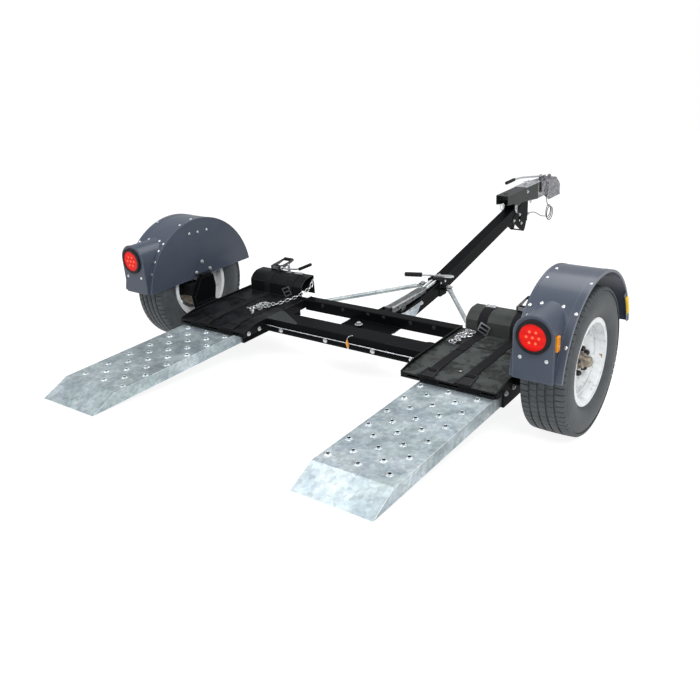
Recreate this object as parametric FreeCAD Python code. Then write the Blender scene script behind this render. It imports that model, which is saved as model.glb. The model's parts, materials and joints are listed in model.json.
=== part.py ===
import FreeCAD, Part
import math
import os
from FreeCAD import Vector

# A car tow dolly: two wheel pans on an axle beam, sliding loading ramps, fendered wheels,
# and a tongue with two braces, a tilt latch and a surge coupler.
# Everything is laid out with the bed level (+Y towards the coupler, +X to the right,
# ground at z = 0 under the tyres), then turned about the wheel axis until the ramp
# noses touch the ground, as the dolly stands for loading.

# Wheels and tyres
TYRE_RADIUS = 331.5
TYRE_WIDTH = 205.0
TYRE_WALL = 11.0
TRACK = 2386.0
RIM_FLANGE_RADIUS = 195.5
RIM_BEAD_RADIUS = 178.0
RIM_WELL_RADIUS = 152.0
RIM_HALF_WIDTH = 82.0
RIM_WALL = 4.0
RIM_LIP = 6.0
RIM_DISC_OFFSET = 34.0
RIM_VENTS = 12
GROOVES = 4
GROOVE_WIDTH = 9.0
GROOVE_DEPTH = 7.0
STUD_COUNT = 5
STUD_CIRCLE = 114.3
NUT_RADIUS = 10.0
HUB_RADIUS = 33.0
HAT_RADIUS = 80.0
ROTOR_RADIUS = 128.0
ROTOR_THICKNESS = 18.0
ROTOR_INSET = 58.0
SPINDLE_RADIUS = 19.0

# Wheel pans, set out inwards from the wheel centre
PAN_GAP = 209.0
PAN_WIDTH = 489.0
PAN_INNER = TRACK / 2 - PAN_GAP - PAN_WIDTH
RAIL_WALL = 6.0
PAN_SHEET = 4.0
PAN_REAR = -297.0
PAN_DEPTH = 36.0
LIP_FALL = 10.0
RAIL_STEP = 5.0
RAIL_RISE_END = -180.0
DECK_BEND = -95.0
CROSS_WALL = 4.0
LIP_SLOTS = ((26, 96), (191, 296), (404, 466))
DECK_HOLE_RADIUS = 11.0
DECK_HOLE_BACK = 175.0
STRIP_REAR = 92.0
STRIP_WIDTH = 53.0
STRIP_HEIGHT = 4.0

# Axle beam and front cross tube, between the pans
BEAM_DEPTH = 127.0
BEAM_HEIGHT = 76.0
BEAM_REAR = -112.0
BEAM_TOP = 260.0
BEAM_WALL = 6.0
TUBE_SIZE = 63.5
TUBE_WALL = 3.2
TUBE_REAR = 226.5
TUBE_FRONT = TUBE_REAR + TUBE_SIZE
CENTRE_HALF_WIDTH = 163.0
CENTRE_CHAMFER = 68.0
CENTRE_THICKNESS = 6.0
STRIP_FACE = 5.0

# Heights of the pans below the beam's top
RAIL_TOP = BEAM_TOP + 1.0
DECK_TOP = BEAM_TOP - 14.0
PAN_BOTTOM = DECK_TOP - PAN_DEPTH
PAN_LIP_TOP = DECK_TOP - LIP_FALL

# Ramps
RAMP_INSET = 94.5
RAMP_INNER = PAN_INNER + RAMP_INSET
RAMP_WIDTH = 378.0
RAMP_DEPTH = 62.0
RAMP_GAP = 8.0
RAMP_BOTTOM = PAN_BOTTOM - RAMP_GAP - RAMP_DEPTH
RAMP_SHEET = 8.0
RAMP_NOSE_BAR = 70.0
RAMP_FRONT = -102.0
RAMP_LENGTH = 1120.0
RAMP_NOSE = RAMP_FRONT - RAMP_LENGTH
RAMP_BEVEL = 143.5
RAMP_CREASE = RAMP_NOSE + RAMP_BEVEL
RAMP_LIP = 20.0
RAMP_RIBS = 7
RAMP_RIB_DEPTH = 38.0
RAMP_RIB_WALL = 8.0
RAMP_HOLE_RADIUS = 8.0
RAMP_HOLE_PITCH = 143.0
RAMP_HOLE_ROW = 69.0
RAMP_HOLE_MARGIN = 28.0
RAMP_HOLE_FIRST = RAMP_FRONT - 82.0
BURR_HEIGHT = 3.0
BURR_SPREAD = 6.0

# Ramp guides under each pan
GUIDE_WALL = 6.0
GUIDE_GAP = 6.0
GUIDE_REAR = PAN_REAR + 75.0
GUIDE_FRONT = TUBE_REAR + 43.5
GUIDE_LEDGE = 22.0
GUIDE_LEDGE_SHEET = 4.0

# Wheel stops at the front of the pans
STOP_INSET = 44.0
STOP_WIDTH = 401.0
STOP_REAR = TUBE_REAR + 21.5
STOP_DEPTH = 125.0
STOP_FRONT = STOP_REAR + STOP_DEPTH
STOP_HEIGHT = 113.0
STOP_TOP = DECK_TOP + STOP_HEIGHT
STOP_TOP_DEPTH = 43.0
STOP_KNEE = 0.62
STOP_SHEET = 2.0

# Spindle brackets
STUB_BOTTOM = PAN_BOTTOM - 11.0
STUB_LENGTH = 46.0
BRACKET_THICKNESS = 32.0
BRACKET_TOP = TYRE_RADIUS + 68.5

# Fenders, set out from the wheel centre
FENDER_INSET = 112.0
FENDER_INNER = TRACK / 2 - FENDER_INSET
FENDER_WIDTH = 220.0
FENDER_RADIUS = 402.0
FENDER_AHEAD = 3.0
FENDER_CENTRE = TYRE_RADIUS - 1.5
FENDER_SHEET = 4.0
FENDER_BOTTOM = BRACKET_TOP - 8.0
FENDER_REAR = 408.0
FENDER_LIP = 9.0
LIGHT_INSET = 104.0
LIGHT_OUT = FENDER_INNER + LIGHT_INSET
LIGHT_HEIGHT = FENDER_BOTTOM + 188.0
BOX_HALF_WIDTH = 84.0
BOX_LENGTH = 218.0
LENS_RADIUS = 56.0
LENS_THICKNESS = 28.0
RING_WIDTH = 15.0
RING_THICKNESS = 12.0
MARKER_LENGTH = 62.0
MARKER_WIDTH = 26.0
MARKER_THICKNESS = 10.0
MARKER_ANGLE = 22.0

# Straps and ratchets
STRAP_WIDTH = 50.0
STRAP_SHEET = 2.5
STRAP_INNER_OFF = 92.0
STRAP_OUTER_OFF = 268.0
STRAP_TAIL = PAN_REAR + 61.0
RATCHET_BACK = 20.0
RATCHET_HALF_WIDTH = 30.0
RATCHET_PLATE = 4.0
SPOOL_RADIUS = 8.0
SPOOL_RISE = 20.0
HANDLE_SHEET = 3.0
HANDLE_LENGTH = 120.0

# Tongue
PIVOT_REACH = 28.0
PIVOT_DROP = 68.0
PIVOT_AHEAD = TUBE_FRONT + PIVOT_REACH
PIVOT_HEIGHT = BEAM_TOP - PIVOT_DROP
PIVOT_PIN_RADIUS = 9.5
TONGUE_SIZE = 76.0
TONGUE_WALL = 2.8
KNEE_AHEAD = 864.0
KNEE_HEIGHT = PIVOT_HEIGHT + 20.0
LOWER_SLOPE = 7.6
UPPER_SLOPE = 12.2
TONGUE_START = PIVOT_AHEAD + 27.0
TONGUE_LENGTH = 1146.0
TONGUE_END = KNEE_AHEAD + TONGUE_LENGTH
TONGUE_RISE = TONGUE_LENGTH * math.tan(math.radians(UPPER_SLOPE))
CHEEK_THICKNESS = 5.0
CHEEK_LENGTH = 322.0
LUG_THICKNESS = 8.0
LUG_GAP = 1.5
BRACE_RADIUS = 13.0
BRACE_INSET = 62.0
BRACE_FOOT_OUT = PAN_INNER + BRACE_INSET
BRACE_HEAD_OUT = 92.0
BRACE_EYE = 27.0
BRACE_WALL = 2.6
BRACE_PIN_RADIUS = 8.0
BRACE_LUG_GAP = 4.0
COLLAR_AHEAD = KNEE_AHEAD + 8.0
COLLAR_LENGTH = 74.0
COLLAR_WALL = 5.0

# Tilt latch
LATCH_WIDTH = 52.0
LATCH_HEIGHT = 32.0
LATCH_WALL = 3.0
LATCH_REAR = PIVOT_AHEAD + 34.0
LATCH_FRONT = KNEE_AHEAD - 148.0
LATCH_TOP = BEAM_TOP - 10.0
LATCH_HOLES = 4
LATCH_HOLE_PITCH = 78.0
LEVER_AHEAD = COLLAR_AHEAD + 33.0
LEVER_ROD_RADIUS = 6.0
LEVER_GRIP_RADIUS = 13.0
LEVER_TURN = 19.0
LEVER_POST = 26.0
POST_RADIUS = 8.0

# Surge coupler
CASE_LENGTH = 494.0
CASE_REAR = TONGUE_END - 242.0
CASE_FRONT = CASE_REAR + CASE_LENGTH
CASE_HALF_WIDTH = 44.5
CASE_RISE = 126.2
CASE_TOP = KNEE_HEIGHT + TONGUE_RISE + CASE_RISE
CASE_WALL = 3.0
CASE_REAR_HEIGHT = 62.0
CASE_FRONT_HEIGHT = 118.0
CASE_HOLE_RADIUS = 15.0
CASE_LIP = 14.0
CASE_FLOOR = 150.0
STAND_SHEET = 4.0
STAND_DROP = 176.0
SLIDE_HALF_WIDTH = 35.0
SLIDE_HEIGHT = 70.0
SLIDE_WALL = 3.0
SLIDE_TRAVEL = 40.0
HEAD_REAR = CASE_FRONT + SLIDE_TRAVEL + 8.0
HEAD_LAP = 60.0
HEAD_WALL = 3.5
HEAD_HALF_WIDTH = 46.0
HEAD_LENGTH = 345.0
NECK_LENGTH = 150.0
BALL_AHEAD = HEAD_REAR + HEAD_LENGTH
BALL_RADIUS = 25.6
BALL_DROP = 139.0
BALL_HEIGHT = CASE_TOP - BALL_DROP
SOCKET_DEPTH = 26.0
LID_LENGTH = 230.0
LID_SHEET = 2.0
CAP_RADIUS = 24.0
LATCH_PIN_RADIUS = 5.0

# Breakaway cable
CABLE_RADIUS = 2.75
LOOP_RADIUS = 52.0
LOOP_STEPS = 8
LOOP_AHEAD = HEAD_REAR + 237.0
LOOP_HEIGHT = BALL_HEIGHT - 129.0

# Small gaps that keep moving pieces apart
SEAT = 0.3
RUN = 5.0

OUT = "parts"


def box(x0, x1, y0, y1, z0, z1):
    return Part.makeBox(x1 - x0, y1 - y0, z1 - z0, Vector(x0, y0, z0))


def yz_prism(points, x0, x1):
    """Extrude a closed outline given as (y, z) pairs from x0 to x1."""
    loop = [Vector(x0, y, z) for y, z in points]
    wire = Part.makePolygon(loop + [loop[0]])
    return Part.Face(wire).extrude(Vector(x1 - x0, 0, 0))


def xy_prism(points, z0, z1):
    """Extrude a closed outline given as (x, y) pairs from z0 to z1."""
    loop = [Vector(x, y, z0) for x, y in points]
    wire = Part.makePolygon(loop + [loop[0]])
    return Part.Face(wire).extrude(Vector(0, 0, z1 - z0))


def rod(start, end, radius):
    path = end - start
    return Part.makeCylinder(radius, path.Length, start, path)


def x_cylinder(radius, x0, x1, y, z):
    return Part.makeCylinder(radius, x1 - x0, Vector(x0, y, z), Vector(1, 0, 0))


def revolve_x(points, y, z):
    """Turn a closed outline of (x, radius) pairs about the X line through (y, z)."""
    loop = [Vector(x, y, z + r) for x, r in points]
    wire = Part.makePolygon(loop + [loop[0]])
    return Part.Face(wire).revolve(Vector(0, y, z), Vector(1, 0, 0), 360)


def fuse(shapes):
    first = shapes[0]
    if len(shapes) == 1:
        return first
    return first.multiFuse(shapes[1:]).removeSplitter()


def mirror(shape):
    return shape.mirror(Vector(0, 0, 0), Vector(1, 0, 0))


def square_tube(x0, x1, y0, y1, z0, z1, wall):
    outer = box(x0, x1, y0, y1, z0, z1)
    edges = [e for e in outer.Edges if abs(e.Vertexes[0].Point.x - e.Vertexes[1].Point.x) > 1]
    outer = outer.makeFillet(1.5 * wall, edges)
    inner = box(x0 - 1, x1 + 1, y0 + wall, y1 - wall, z0 + wall, z1 - wall)
    return outer.cut(inner)


# Frame

def axle_beam():
    """Rectangular tube between the pans, with a slim bar along its rear face."""
    tube = square_tube(-PAN_INNER, PAN_INNER, BEAM_REAR, beam_front(),
                       BEAM_TOP - BEAM_HEIGHT, BEAM_TOP, BEAM_WALL)
    face = BEAM_REAR
    low = BEAM_TOP - BEAM_HEIGHT + 12
    bar = yz_prism([(face - STRIP_FACE, low), (face - STRIP_FACE, low + 24),
                    (face + 1, low + 27), (face + 1, low)], 8 - PAN_INNER, PAN_INNER - 8)
    return tube.fuse(bar)


def front_cross_tube():
    return square_tube(-PAN_INNER, PAN_INNER, TUBE_REAR, TUBE_FRONT,
                       BEAM_TOP - TUBE_SIZE, BEAM_TOP, TUBE_WALL)


def beam_front():
    return BEAM_REAR + BEAM_DEPTH


def centre_plate():
    """Bottom plate between beam and front tube, spread at the corners beside the windows."""
    near = beam_front()
    far = TUBE_REAR
    inner = CENTRE_HALF_WIDTH
    outer = CENTRE_HALF_WIDTH + CENTRE_CHAMFER
    points = [(-outer, near), (-inner, near + CENTRE_CHAMFER), (-inner, far),
              (inner, far), (inner, near + CENTRE_CHAMFER), (outer, near)]
    z0 = BEAM_TOP - TUBE_SIZE + TUBE_WALL
    plate = xy_prism(points, z0, z0 + CENTRE_THICKNESS)
    middle = (near + far) / 2
    boss = Part.makeCylinder(17, 16, Vector(-40, middle, z0 + CENTRE_THICKNESS))
    return plate.fuse(boss)


# Wheel pans, right-hand side

def pan_outer():
    return PAN_INNER + PAN_WIDTH


def deck_height(y):
    if y >= DECK_BEND:
        return DECK_TOP
    share = (y - PAN_REAR) / (DECK_BEND - PAN_REAR)
    return PAN_LIP_TOP + share * (DECK_TOP - PAN_LIP_TOP)


def pan_rail(x0):
    """Side plate of the pan: deep in the middle, low at the rear lip."""
    points = [(PAN_REAR, PAN_BOTTOM), (PAN_REAR, PAN_LIP_TOP + RAIL_STEP),
              (RAIL_RISE_END - 54, RAIL_TOP - 8), (RAIL_RISE_END, RAIL_TOP),
              (TUBE_FRONT, RAIL_TOP), (TUBE_FRONT, PAN_BOTTOM)]
    return yz_prism(points, x0, x0 + RAIL_WALL)


def lip_slots(x0, y0, y1):
    z0 = PAN_BOTTOM + 7
    return [box(x0 + a, x0 + b, y0, y1, z0, z0 + 12) for a, b in LIP_SLOTS]


def wheel_pan():
    """Tray of folded sheet: two side plates, a bent deck and a slotted rear lip."""
    x0 = PAN_INNER + RAIL_WALL
    x1 = pan_outer() - RAIL_WALL
    t = PAN_SHEET
    deck = yz_prism([(PAN_REAR, PAN_LIP_TOP), (DECK_BEND, DECK_TOP), (TUBE_FRONT, DECK_TOP),
                     (TUBE_FRONT, DECK_TOP - t), (DECK_BEND, DECK_TOP - t),
                     (PAN_REAR + t + 1, PAN_LIP_TOP - t), (PAN_REAR + t + 1, PAN_BOTTOM),
                     (PAN_REAR, PAN_BOTTOM)], x0, x1)
    pan = fuse([deck, pan_rail(PAN_INNER), pan_rail(x1)])
    slots = lip_slots(x0, PAN_REAR - 5, PAN_REAR + t + 2)
    centre = Vector(PAN_INNER + PAN_WIDTH / 2, -DECK_HOLE_BACK, deck_height(-DECK_HOLE_BACK))
    pan = pan.fuse(Part.makeCylinder(DECK_HOLE_RADIUS + 7, 5, centre - Vector(0, 0, 2)))
    slots.append(Part.makeCylinder(DECK_HOLE_RADIUS, 30, centre - Vector(0, 0, 15)))
    pan = pan.cut(Part.makeCompound(slots))
    strip = box(x0 + 10, x1 - 10, STRIP_REAR, STRIP_REAR + STRIP_WIDTH,
                DECK_TOP, DECK_TOP + STRIP_HEIGHT)
    return pan.fuse(strip).removeSplitter()


def pan_cross_tubes():
    """Two shallow tubes that carry the deck, and an angle inside the rear lip."""
    x0 = PAN_INNER + RAIL_WALL
    x1 = pan_outer() - RAIL_WALL
    top = DECK_TOP - PAN_SHEET
    back = square_tube(x0, x1, BEAM_REAR, beam_front(), PAN_BOTTOM, top, CROSS_WALL)
    low = yz_prism([(BEAM_REAR - 1, top - 1), (BEAM_REAR - 1, top + 1), (DECK_BEND, top + 1),
                    (DECK_BEND, top), (DECK_BEND + 1, top)], x0 - 1, x1 + 1)
    back = back.cut(low)
    front = square_tube(x0, x1, TUBE_FRONT - 51, TUBE_FRONT, PAN_BOTTOM, top, CROSS_WALL)
    y = PAN_REAR + PAN_SHEET + 1
    angle = yz_prism([(y, PAN_BOTTOM), (y + 30, PAN_BOTTOM), (y + 30, PAN_BOTTOM + 5),
                      (y + 5, PAN_BOTTOM + 5), (y + 5, deck_height(y) - PAN_SHEET - 1),
                      (y, deck_height(y) - PAN_SHEET - 1)], x0, x1)
    slots = lip_slots(x0, y - 5, y + 8)
    return Part.makeCompound([back, front, angle.cut(Part.makeCompound(slots))])


def ramp_guides():
    """Bolted plates under the pan that hold the ramp's flanges, with a ledge below each."""
    inner = RAMP_INNER - GUIDE_GAP - GUIDE_WALL
    outer = RAMP_INNER + RAMP_WIDTH + GUIDE_GAP
    z0 = RAMP_BOTTOM - GUIDE_LEDGE_SHEET - SEAT
    z1 = z0 + GUIDE_LEDGE_SHEET
    y0 = GUIDE_REAR
    y1 = GUIDE_FRONT
    high = deck_height(y0) - PAN_SHEET - 3
    points = [(y0, z0), (y0, high), (BEAM_REAR, high), (BEAM_REAR, PAN_BOTTOM),
              (y1, PAN_BOTTOM), (y1, z0)]
    near = fuse([yz_prism(points, inner, inner + GUIDE_WALL),
                 box(inner + 1, inner + GUIDE_WALL + GUIDE_LEDGE, y0, y1, z0, z1)])
    far = fuse([box(outer, outer + GUIDE_WALL, y0, y1, z0, PAN_BOTTOM),
                box(outer - GUIDE_LEDGE, outer + 1, y0, y1, z0, z1)])
    return Part.makeCompound([near, far])


# Wheel stop

def stop_outline(inset):
    """Curved front stop in the YZ plane: steep foot, round brow, flat top."""
    z0 = DECK_TOP + SEAT
    z1 = STOP_TOP - inset
    foot = Vector(0, STOP_REAR + inset, z0)
    knee = Vector(0, STOP_REAR + 5 + inset, z0 + STOP_KNEE * (STOP_TOP - z0))
    brow = Vector(0, STOP_FRONT - STOP_TOP_DEPTH, z1)
    across = brow.y - knee.y
    up = brow.z - knee.z
    radius = (across * across + up * up) / (2 * up)
    half = 0.5 * math.atan2(across, radius - up)
    middle = Vector(0, brow.y - radius * math.sin(half), z1 - radius + radius * math.cos(half))
    front = Vector(0, STOP_FRONT - inset, z1)
    base = Vector(0, STOP_FRONT - inset, z0)
    edges = [Part.makeLine(foot, knee), Part.Arc(knee, middle, brow).toShape(),
             Part.makeLine(brow, front), Part.makeLine(front, base), Part.makeLine(base, foot)]
    return Part.Face(Part.Wire(edges))


def wheel_stop():
    x0 = PAN_INNER + STOP_INSET
    outer = stop_outline(0).extrude(Vector(STOP_WIDTH, 0, 0))
    inner = stop_outline(STOP_SHEET).extrude(Vector(STOP_WIDTH + 2, 0, 0))
    inner.translate(Vector(-1, 0, -2 * STOP_SHEET))
    lower = inner.copy()
    lower.translate(Vector(0, 0, 2 * STOP_SHEET))
    shell = outer.cut(inner).cut(lower)
    shell.translate(Vector(x0, 0, 0))
    return shell


# Ramp

def ramp():
    x0 = RAMP_INNER
    x1 = RAMP_INNER + RAMP_WIDTH
    end = RAMP_FRONT
    top = RAMP_BOTTOM + RAMP_DEPTH
    lean = RAMP_SHEET * 1.1
    outline = [(RAMP_NOSE, RAMP_BOTTOM), (RAMP_CREASE, top), (end, top), (end, RAMP_BOTTOM)]
    inside = [(RAMP_NOSE + 2.6 * lean, RAMP_BOTTOM), (RAMP_CREASE + 0.2 * lean, top - RAMP_SHEET),
              (end + 1, top - RAMP_SHEET), (end + 1, RAMP_BOTTOM)]
    solid = yz_prism(outline, x0, x1)
    solid = solid.cut(yz_prism(inside, x0 + RAMP_SHEET, x1 - RAMP_SHEET))
    floor = RAMP_BOTTOM + RAMP_SHEET
    pieces = [solid]
    for a, b in ((x0, x0 + RAMP_LIP), (x1 - RAMP_LIP, x1)):
        pieces.append(box(a, b, RAMP_NOSE + 40, end, RAMP_BOTTOM, floor))
    slope = RAMP_DEPTH / (RAMP_CREASE - RAMP_NOSE)
    pieces.append(yz_prism([(RAMP_NOSE + 2, RAMP_BOTTOM), (RAMP_NOSE + RAMP_NOSE_BAR, RAMP_BOTTOM),
                            (RAMP_NOSE + RAMP_NOSE_BAR, RAMP_BOTTOM + RAMP_NOSE_BAR * slope - 2)],
                           x0 + 1, x1 - 1))
    for index in range(RAMP_RIBS):
        y = RAMP_HOLE_FIRST + (0.5 - 2 * index) * RAMP_HOLE_ROW
        pieces.append(box(x0 + 1, x1 - 1, y - RAMP_RIB_WALL / 2, y + RAMP_RIB_WALL / 2,
                          top - RAMP_SHEET - RAMP_RIB_DEPTH, top - 1))
    return drill_grips(fuse(pieces), x0, top).removeSplitter()


def drill_grips(solid, x0, top):
    """Raised, pierced grips in staggered rows of three and two."""
    burrs = []
    holes = []
    rows = int((RAMP_HOLE_FIRST - RAMP_CREASE - 2 * RAMP_HOLE_RADIUS) / RAMP_HOLE_ROW) + 1
    for row in range(rows):
        y = RAMP_HOLE_FIRST - RAMP_HOLE_ROW * row
        count = 3 - row % 2
        shift = (row % 2) * RAMP_HOLE_PITCH / 2
        for column in range(count):
            x = x0 + RAMP_HOLE_MARGIN + shift + column * RAMP_HOLE_PITCH
            burrs.append(Part.makeCone(RAMP_HOLE_RADIUS + BURR_SPREAD, RAMP_HOLE_RADIUS + 1.5,
                                       BURR_HEIGHT + 1, Vector(x, y, top - 1)))
            holes.append(Part.makeCylinder(RAMP_HOLE_RADIUS, 20, Vector(x, y, top - 10)))
    return solid.multiFuse(burrs).cut(Part.makeCompound(holes))


# Wheel, right-hand side

def groove_notches(half):
    """Tread outline from one shoulder to the other, notched by the grooves."""
    span = 1.5 * half
    points = []
    for index in range(GROOVES):
        x = -span / 2 + span * index / (GROOVES - 1)
        a = x - GROOVE_WIDTH / 2
        b = x + GROOVE_WIDTH / 2
        points += [(a, TYRE_RADIUS), (a, TYRE_RADIUS - GROOVE_DEPTH),
                   (b, TYRE_RADIUS - GROOVE_DEPTH), (b, TYRE_RADIUS)]
    return points


def tyre():
    """Hollow carcass with its beads inside the rim flanges."""
    half = TYRE_WIDTH / 2
    tread = 0.86 * half
    bead = RIM_HALF_WIDTH - RIM_LIP - SEAT
    wall = TYRE_WALL
    height = TYRE_RADIUS - RIM_FLANGE_RADIUS
    low = RIM_FLANGE_RADIUS + 0.12 * height
    widest = RIM_FLANGE_RADIUS + 0.415 * height
    high = RIM_FLANGE_RADIUS + 0.68 * height
    outer = [(-bead, RIM_BEAD_RADIUS), (-bead, RIM_FLANGE_RADIUS + 1), (-0.9 * half, low),
             (-half, widest), (-0.98 * half, high), (-tread - 5, TYRE_RADIUS - 8),
             (-tread, TYRE_RADIUS)]
    right = [(-x, r) for x, r in reversed(outer)]
    inner = [(bead - wall, RIM_BEAD_RADIUS), (bead - wall, RIM_FLANGE_RADIUS + 5),
             (0.9 * half - wall, low + 6), (half - wall, widest), (0.98 * half - wall, high - 3),
             (tread - 8, TYRE_RADIUS - 14 - wall)]
    inner += [(-x, r) for x, r in reversed(inner)]
    points = outer + groove_notches(half) + right + inner
    return revolve_x([(x + TRACK / 2, r) for x, r in points], 0, TYRE_RADIUS)


def rim():
    """One-piece steel wheel: flanged barrel with a drop centre and a vented disc."""
    w = RIM_HALF_WIDTH
    t = RIM_WALL
    bead = RIM_BEAD_RADIUS - SEAT
    well = RIM_WELL_RADIUS
    barrel = [(-w, RIM_FLANGE_RADIUS), (-w + RIM_LIP, RIM_FLANGE_RADIUS), (-w + RIM_LIP, bead),
              (-40, bead - 4), (-28, well), (18, well), (30, bead - 4), (w - RIM_LIP, bead),
              (w - RIM_LIP, RIM_FLANGE_RADIUS), (w, RIM_FLANGE_RADIUS), (w, bead - t),
              (32, bead - 4 - t), (20, well - t), (-30, well - t), (-42, bead - 4 - t),
              (-w, bead - t)]
    d = RIM_DISC_OFFSET
    seat = STUD_CIRCLE / 2 + 24
    bulge = well - 52
    fall = well - 17
    disc = [(d - 8, HUB_RADIUS + SEAT), (d - 8, seat + 3), (d + 14, bulge), (d - 4, fall - 1),
            (12, well - t), (12 + t, well - t + 1), (d + 3, fall + 1), (d + 22, bulge),
            (d, seat - 1), (d, HUB_RADIUS + SEAT)]
    centre = TRACK / 2
    body = revolve_x([(x + centre, r) for x, r in barrel], 0, TYRE_RADIUS)
    face = revolve_x([(x + centre, r) for x, r in disc], 0, TYRE_RADIUS)
    body = body.fuse(face)
    cuts = []
    for index in range(RIM_VENTS):
        angle = 2 * math.pi * index / RIM_VENTS
        y = (fall - 8) * math.cos(angle)
        z = TYRE_RADIUS + (fall - 8) * math.sin(angle)
        vent = box(centre, centre + 70, y - 6, y + 6, z - 13, z + 13)
        vent.rotate(Vector(centre, y, z), Vector(1, 0, 0), math.degrees(angle) + 90)
        cuts.append(vent)
    return body.cut(Part.makeCompound(cuts)).removeSplitter()


def stud_places():
    """Wheel studs on their circle, as (y, z) pairs, the first one at the top."""
    radius = STUD_CIRCLE / 2
    places = []
    for index in range(STUD_COUNT):
        angle = math.pi / 2 + 2 * math.pi * index / STUD_COUNT
        places.append((radius * math.cos(angle), TYRE_RADIUS + radius * math.sin(angle)))
    return places


def rotor_inner():
    return TRACK / 2 + RIM_DISC_OFFSET - ROTOR_INSET


def hub():
    """Hub with its dust cap, brake rotor and wheel studs, turning with the wheel."""
    seat = TRACK / 2 + RIM_DISC_OFFSET
    inner = rotor_inner()
    barrel = x_cylinder(HUB_RADIUS, inner - 2, seat + 18, 0, TYRE_RADIUS)
    cap = x_cylinder(HUB_RADIUS - 9, seat + 18, seat + 52, 0, TYRE_RADIUS)
    cap = cap.makeFillet(8, [e for e in cap.Edges if e.BoundBox.XMin > seat + 51])
    flange = x_cylinder(STUD_CIRCLE / 2 + 17, seat - 22, seat - 8, 0, TYRE_RADIUS)
    rotor = x_cylinder(ROTOR_RADIUS, inner, inner + ROTOR_THICKNESS, 0, TYRE_RADIUS)
    hat = x_cylinder(HAT_RADIUS, inner, seat - 22, 0, TYRE_RADIUS)
    bore = x_cylinder(SPINDLE_RADIUS + 1.0, inner - 12, seat + 10, 0, TYRE_RADIUS)
    nuts = [x_cylinder(NUT_RADIUS, seat + SEAT - 8.3, seat + 17, y, z) for y, z in stud_places()]
    return fuse([barrel, cap, flange, rotor, hat] + nuts).cut(bore)


def drilled_rim():
    """The rim with clearance holes for the studs."""
    centre = TRACK / 2
    holes = [x_cylinder(NUT_RADIUS + SEAT, centre, centre + 90, y, z) for y, z in stud_places()]
    return rim().cut(Part.makeCompound(holes))


# Spindle bracket and fender, right-hand side

def bracket_inner():
    return pan_outer() + STUB_LENGTH


def axle_end():
    """Stub tube beside the pan, and the block on it that carries the spindle."""
    x0 = bracket_inner()
    x1 = x0 + BRACKET_THICKNESS
    stub = square_tube(pan_outer(), x0, BEAM_REAR, beam_front(), STUB_BOTTOM, BEAM_TOP,
                       BEAM_WALL)
    points = [(BEAM_REAR, STUB_BOTTOM - 8), (BEAM_REAR - 14, BRACKET_TOP - 100),
              (-62, BRACKET_TOP), (34, BRACKET_TOP), (46, TYRE_RADIUS),
              (beam_front(), STUB_BOTTOM - 8)]
    block = yz_prism(points, x0, x1)
    nose = TRACK / 2 + RIM_DISC_OFFSET + 4
    spindle = x_cylinder(SPINDLE_RADIUS, x1 - 1, nose, 0, TYRE_RADIUS)
    collar = x_cylinder(46, x1 - 1, x1 + 42, 0, TYRE_RADIUS)
    return fuse([stub, block, collar, spindle])


def brake_caliper():
    """Caliper behind the rotor's rear edge, held by an arm from the bracket."""
    rotor = rotor_inner()
    r = ROTOR_RADIUS
    z = TYRE_RADIUS
    arm = yz_prism([(10 - r, z - 32), (10 - r, z + 35), (58 - r, z + 41), (58 - r, z - 39)],
                   bracket_inner() + BRACKET_THICKNESS, rotor - 20)
    pads = yz_prism([(-r - 8, z - 32), (-r - 12, z), (-r - 8, z + 35), (40 - r, z + 41),
                     (40 - r, z - 39)], rotor - 20, rotor + ROTOR_THICKNESS + 16)
    gap = x_cylinder(r + RUN, rotor - RUN, rotor + ROTOR_THICKNESS + RUN, 0, z)
    slot = x_cylinder(HAT_RADIUS + RUN, rotor - 30, rotor + ROTOR_INSET + 2, 0, z)
    return fuse([arm, pads]).cut(gap).cut(slot)


def cover_face(inset):
    """Segment of a disc above the skirt's lower edge, as a YZ face."""
    r = FENDER_RADIUS - inset
    z0 = FENDER_BOTTOM
    rise = z0 - FENDER_CENTRE
    reach = math.sqrt(r * r - rise * rise)
    front = Vector(0, FENDER_AHEAD + reach, z0)
    back = Vector(0, FENDER_AHEAD - reach, z0)
    top = Vector(0, FENDER_AHEAD, FENDER_CENTRE + r)
    return Part.Face(Part.Wire([Part.Arc(front, top, back).toShape(), Part.makeLine(back, front)]))


def light_box(inset):
    """Arched housing that carries the tail light, from the rear face into the cover."""
    r = BOX_HALF_WIDTH - inset
    y0 = -FENDER_REAR + inset
    length = BOX_LENGTH - inset
    low = box(LIGHT_OUT - r, LIGHT_OUT + r, y0, y0 + length, FENDER_BOTTOM, LIGHT_HEIGHT)
    arch = Part.makeCylinder(r, length, Vector(LIGHT_OUT, y0, LIGHT_HEIGHT), Vector(0, 1, 0))
    return low.fuse(arch)


def fender():
    """Round cover with inner skirt and light housing, open below and to the outside."""
    t = FENDER_SHEET
    w = FENDER_WIDTH
    outer = cover_face(0).extrude(Vector(w, 0, 0))
    inner = cover_face(t).extrude(Vector(w, 0, 0))
    inner.translate(Vector(t, 0, 0))
    lower = inner.copy()
    lower.translate(Vector(0, 0, -2 * t))
    lip_hole = cover_face(FENDER_LIP).extrude(Vector(t, 0, 0))
    lip_drop = lip_hole.copy()
    lip_drop.translate(Vector(0, 0, -2 * FENDER_LIP))
    lip = cover_face(0).extrude(Vector(t, 0, 0)).cut(lip_hole).cut(lip_drop)
    lip.translate(Vector(w - t, 0, 0))
    for shape in (outer, inner, lower, lip):
        shape.translate(Vector(FENDER_INNER, 0, 0))
    housing = light_box(0)
    cavity = light_box(t)
    under = cavity.copy()
    under.translate(Vector(0, 0, -2 * t))
    shell = outer.fuse(housing).cut(inner).cut(lower).cut(cavity).cut(under)
    return shell.fuse(lip).cut(light_hole()).removeSplitter()


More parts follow.
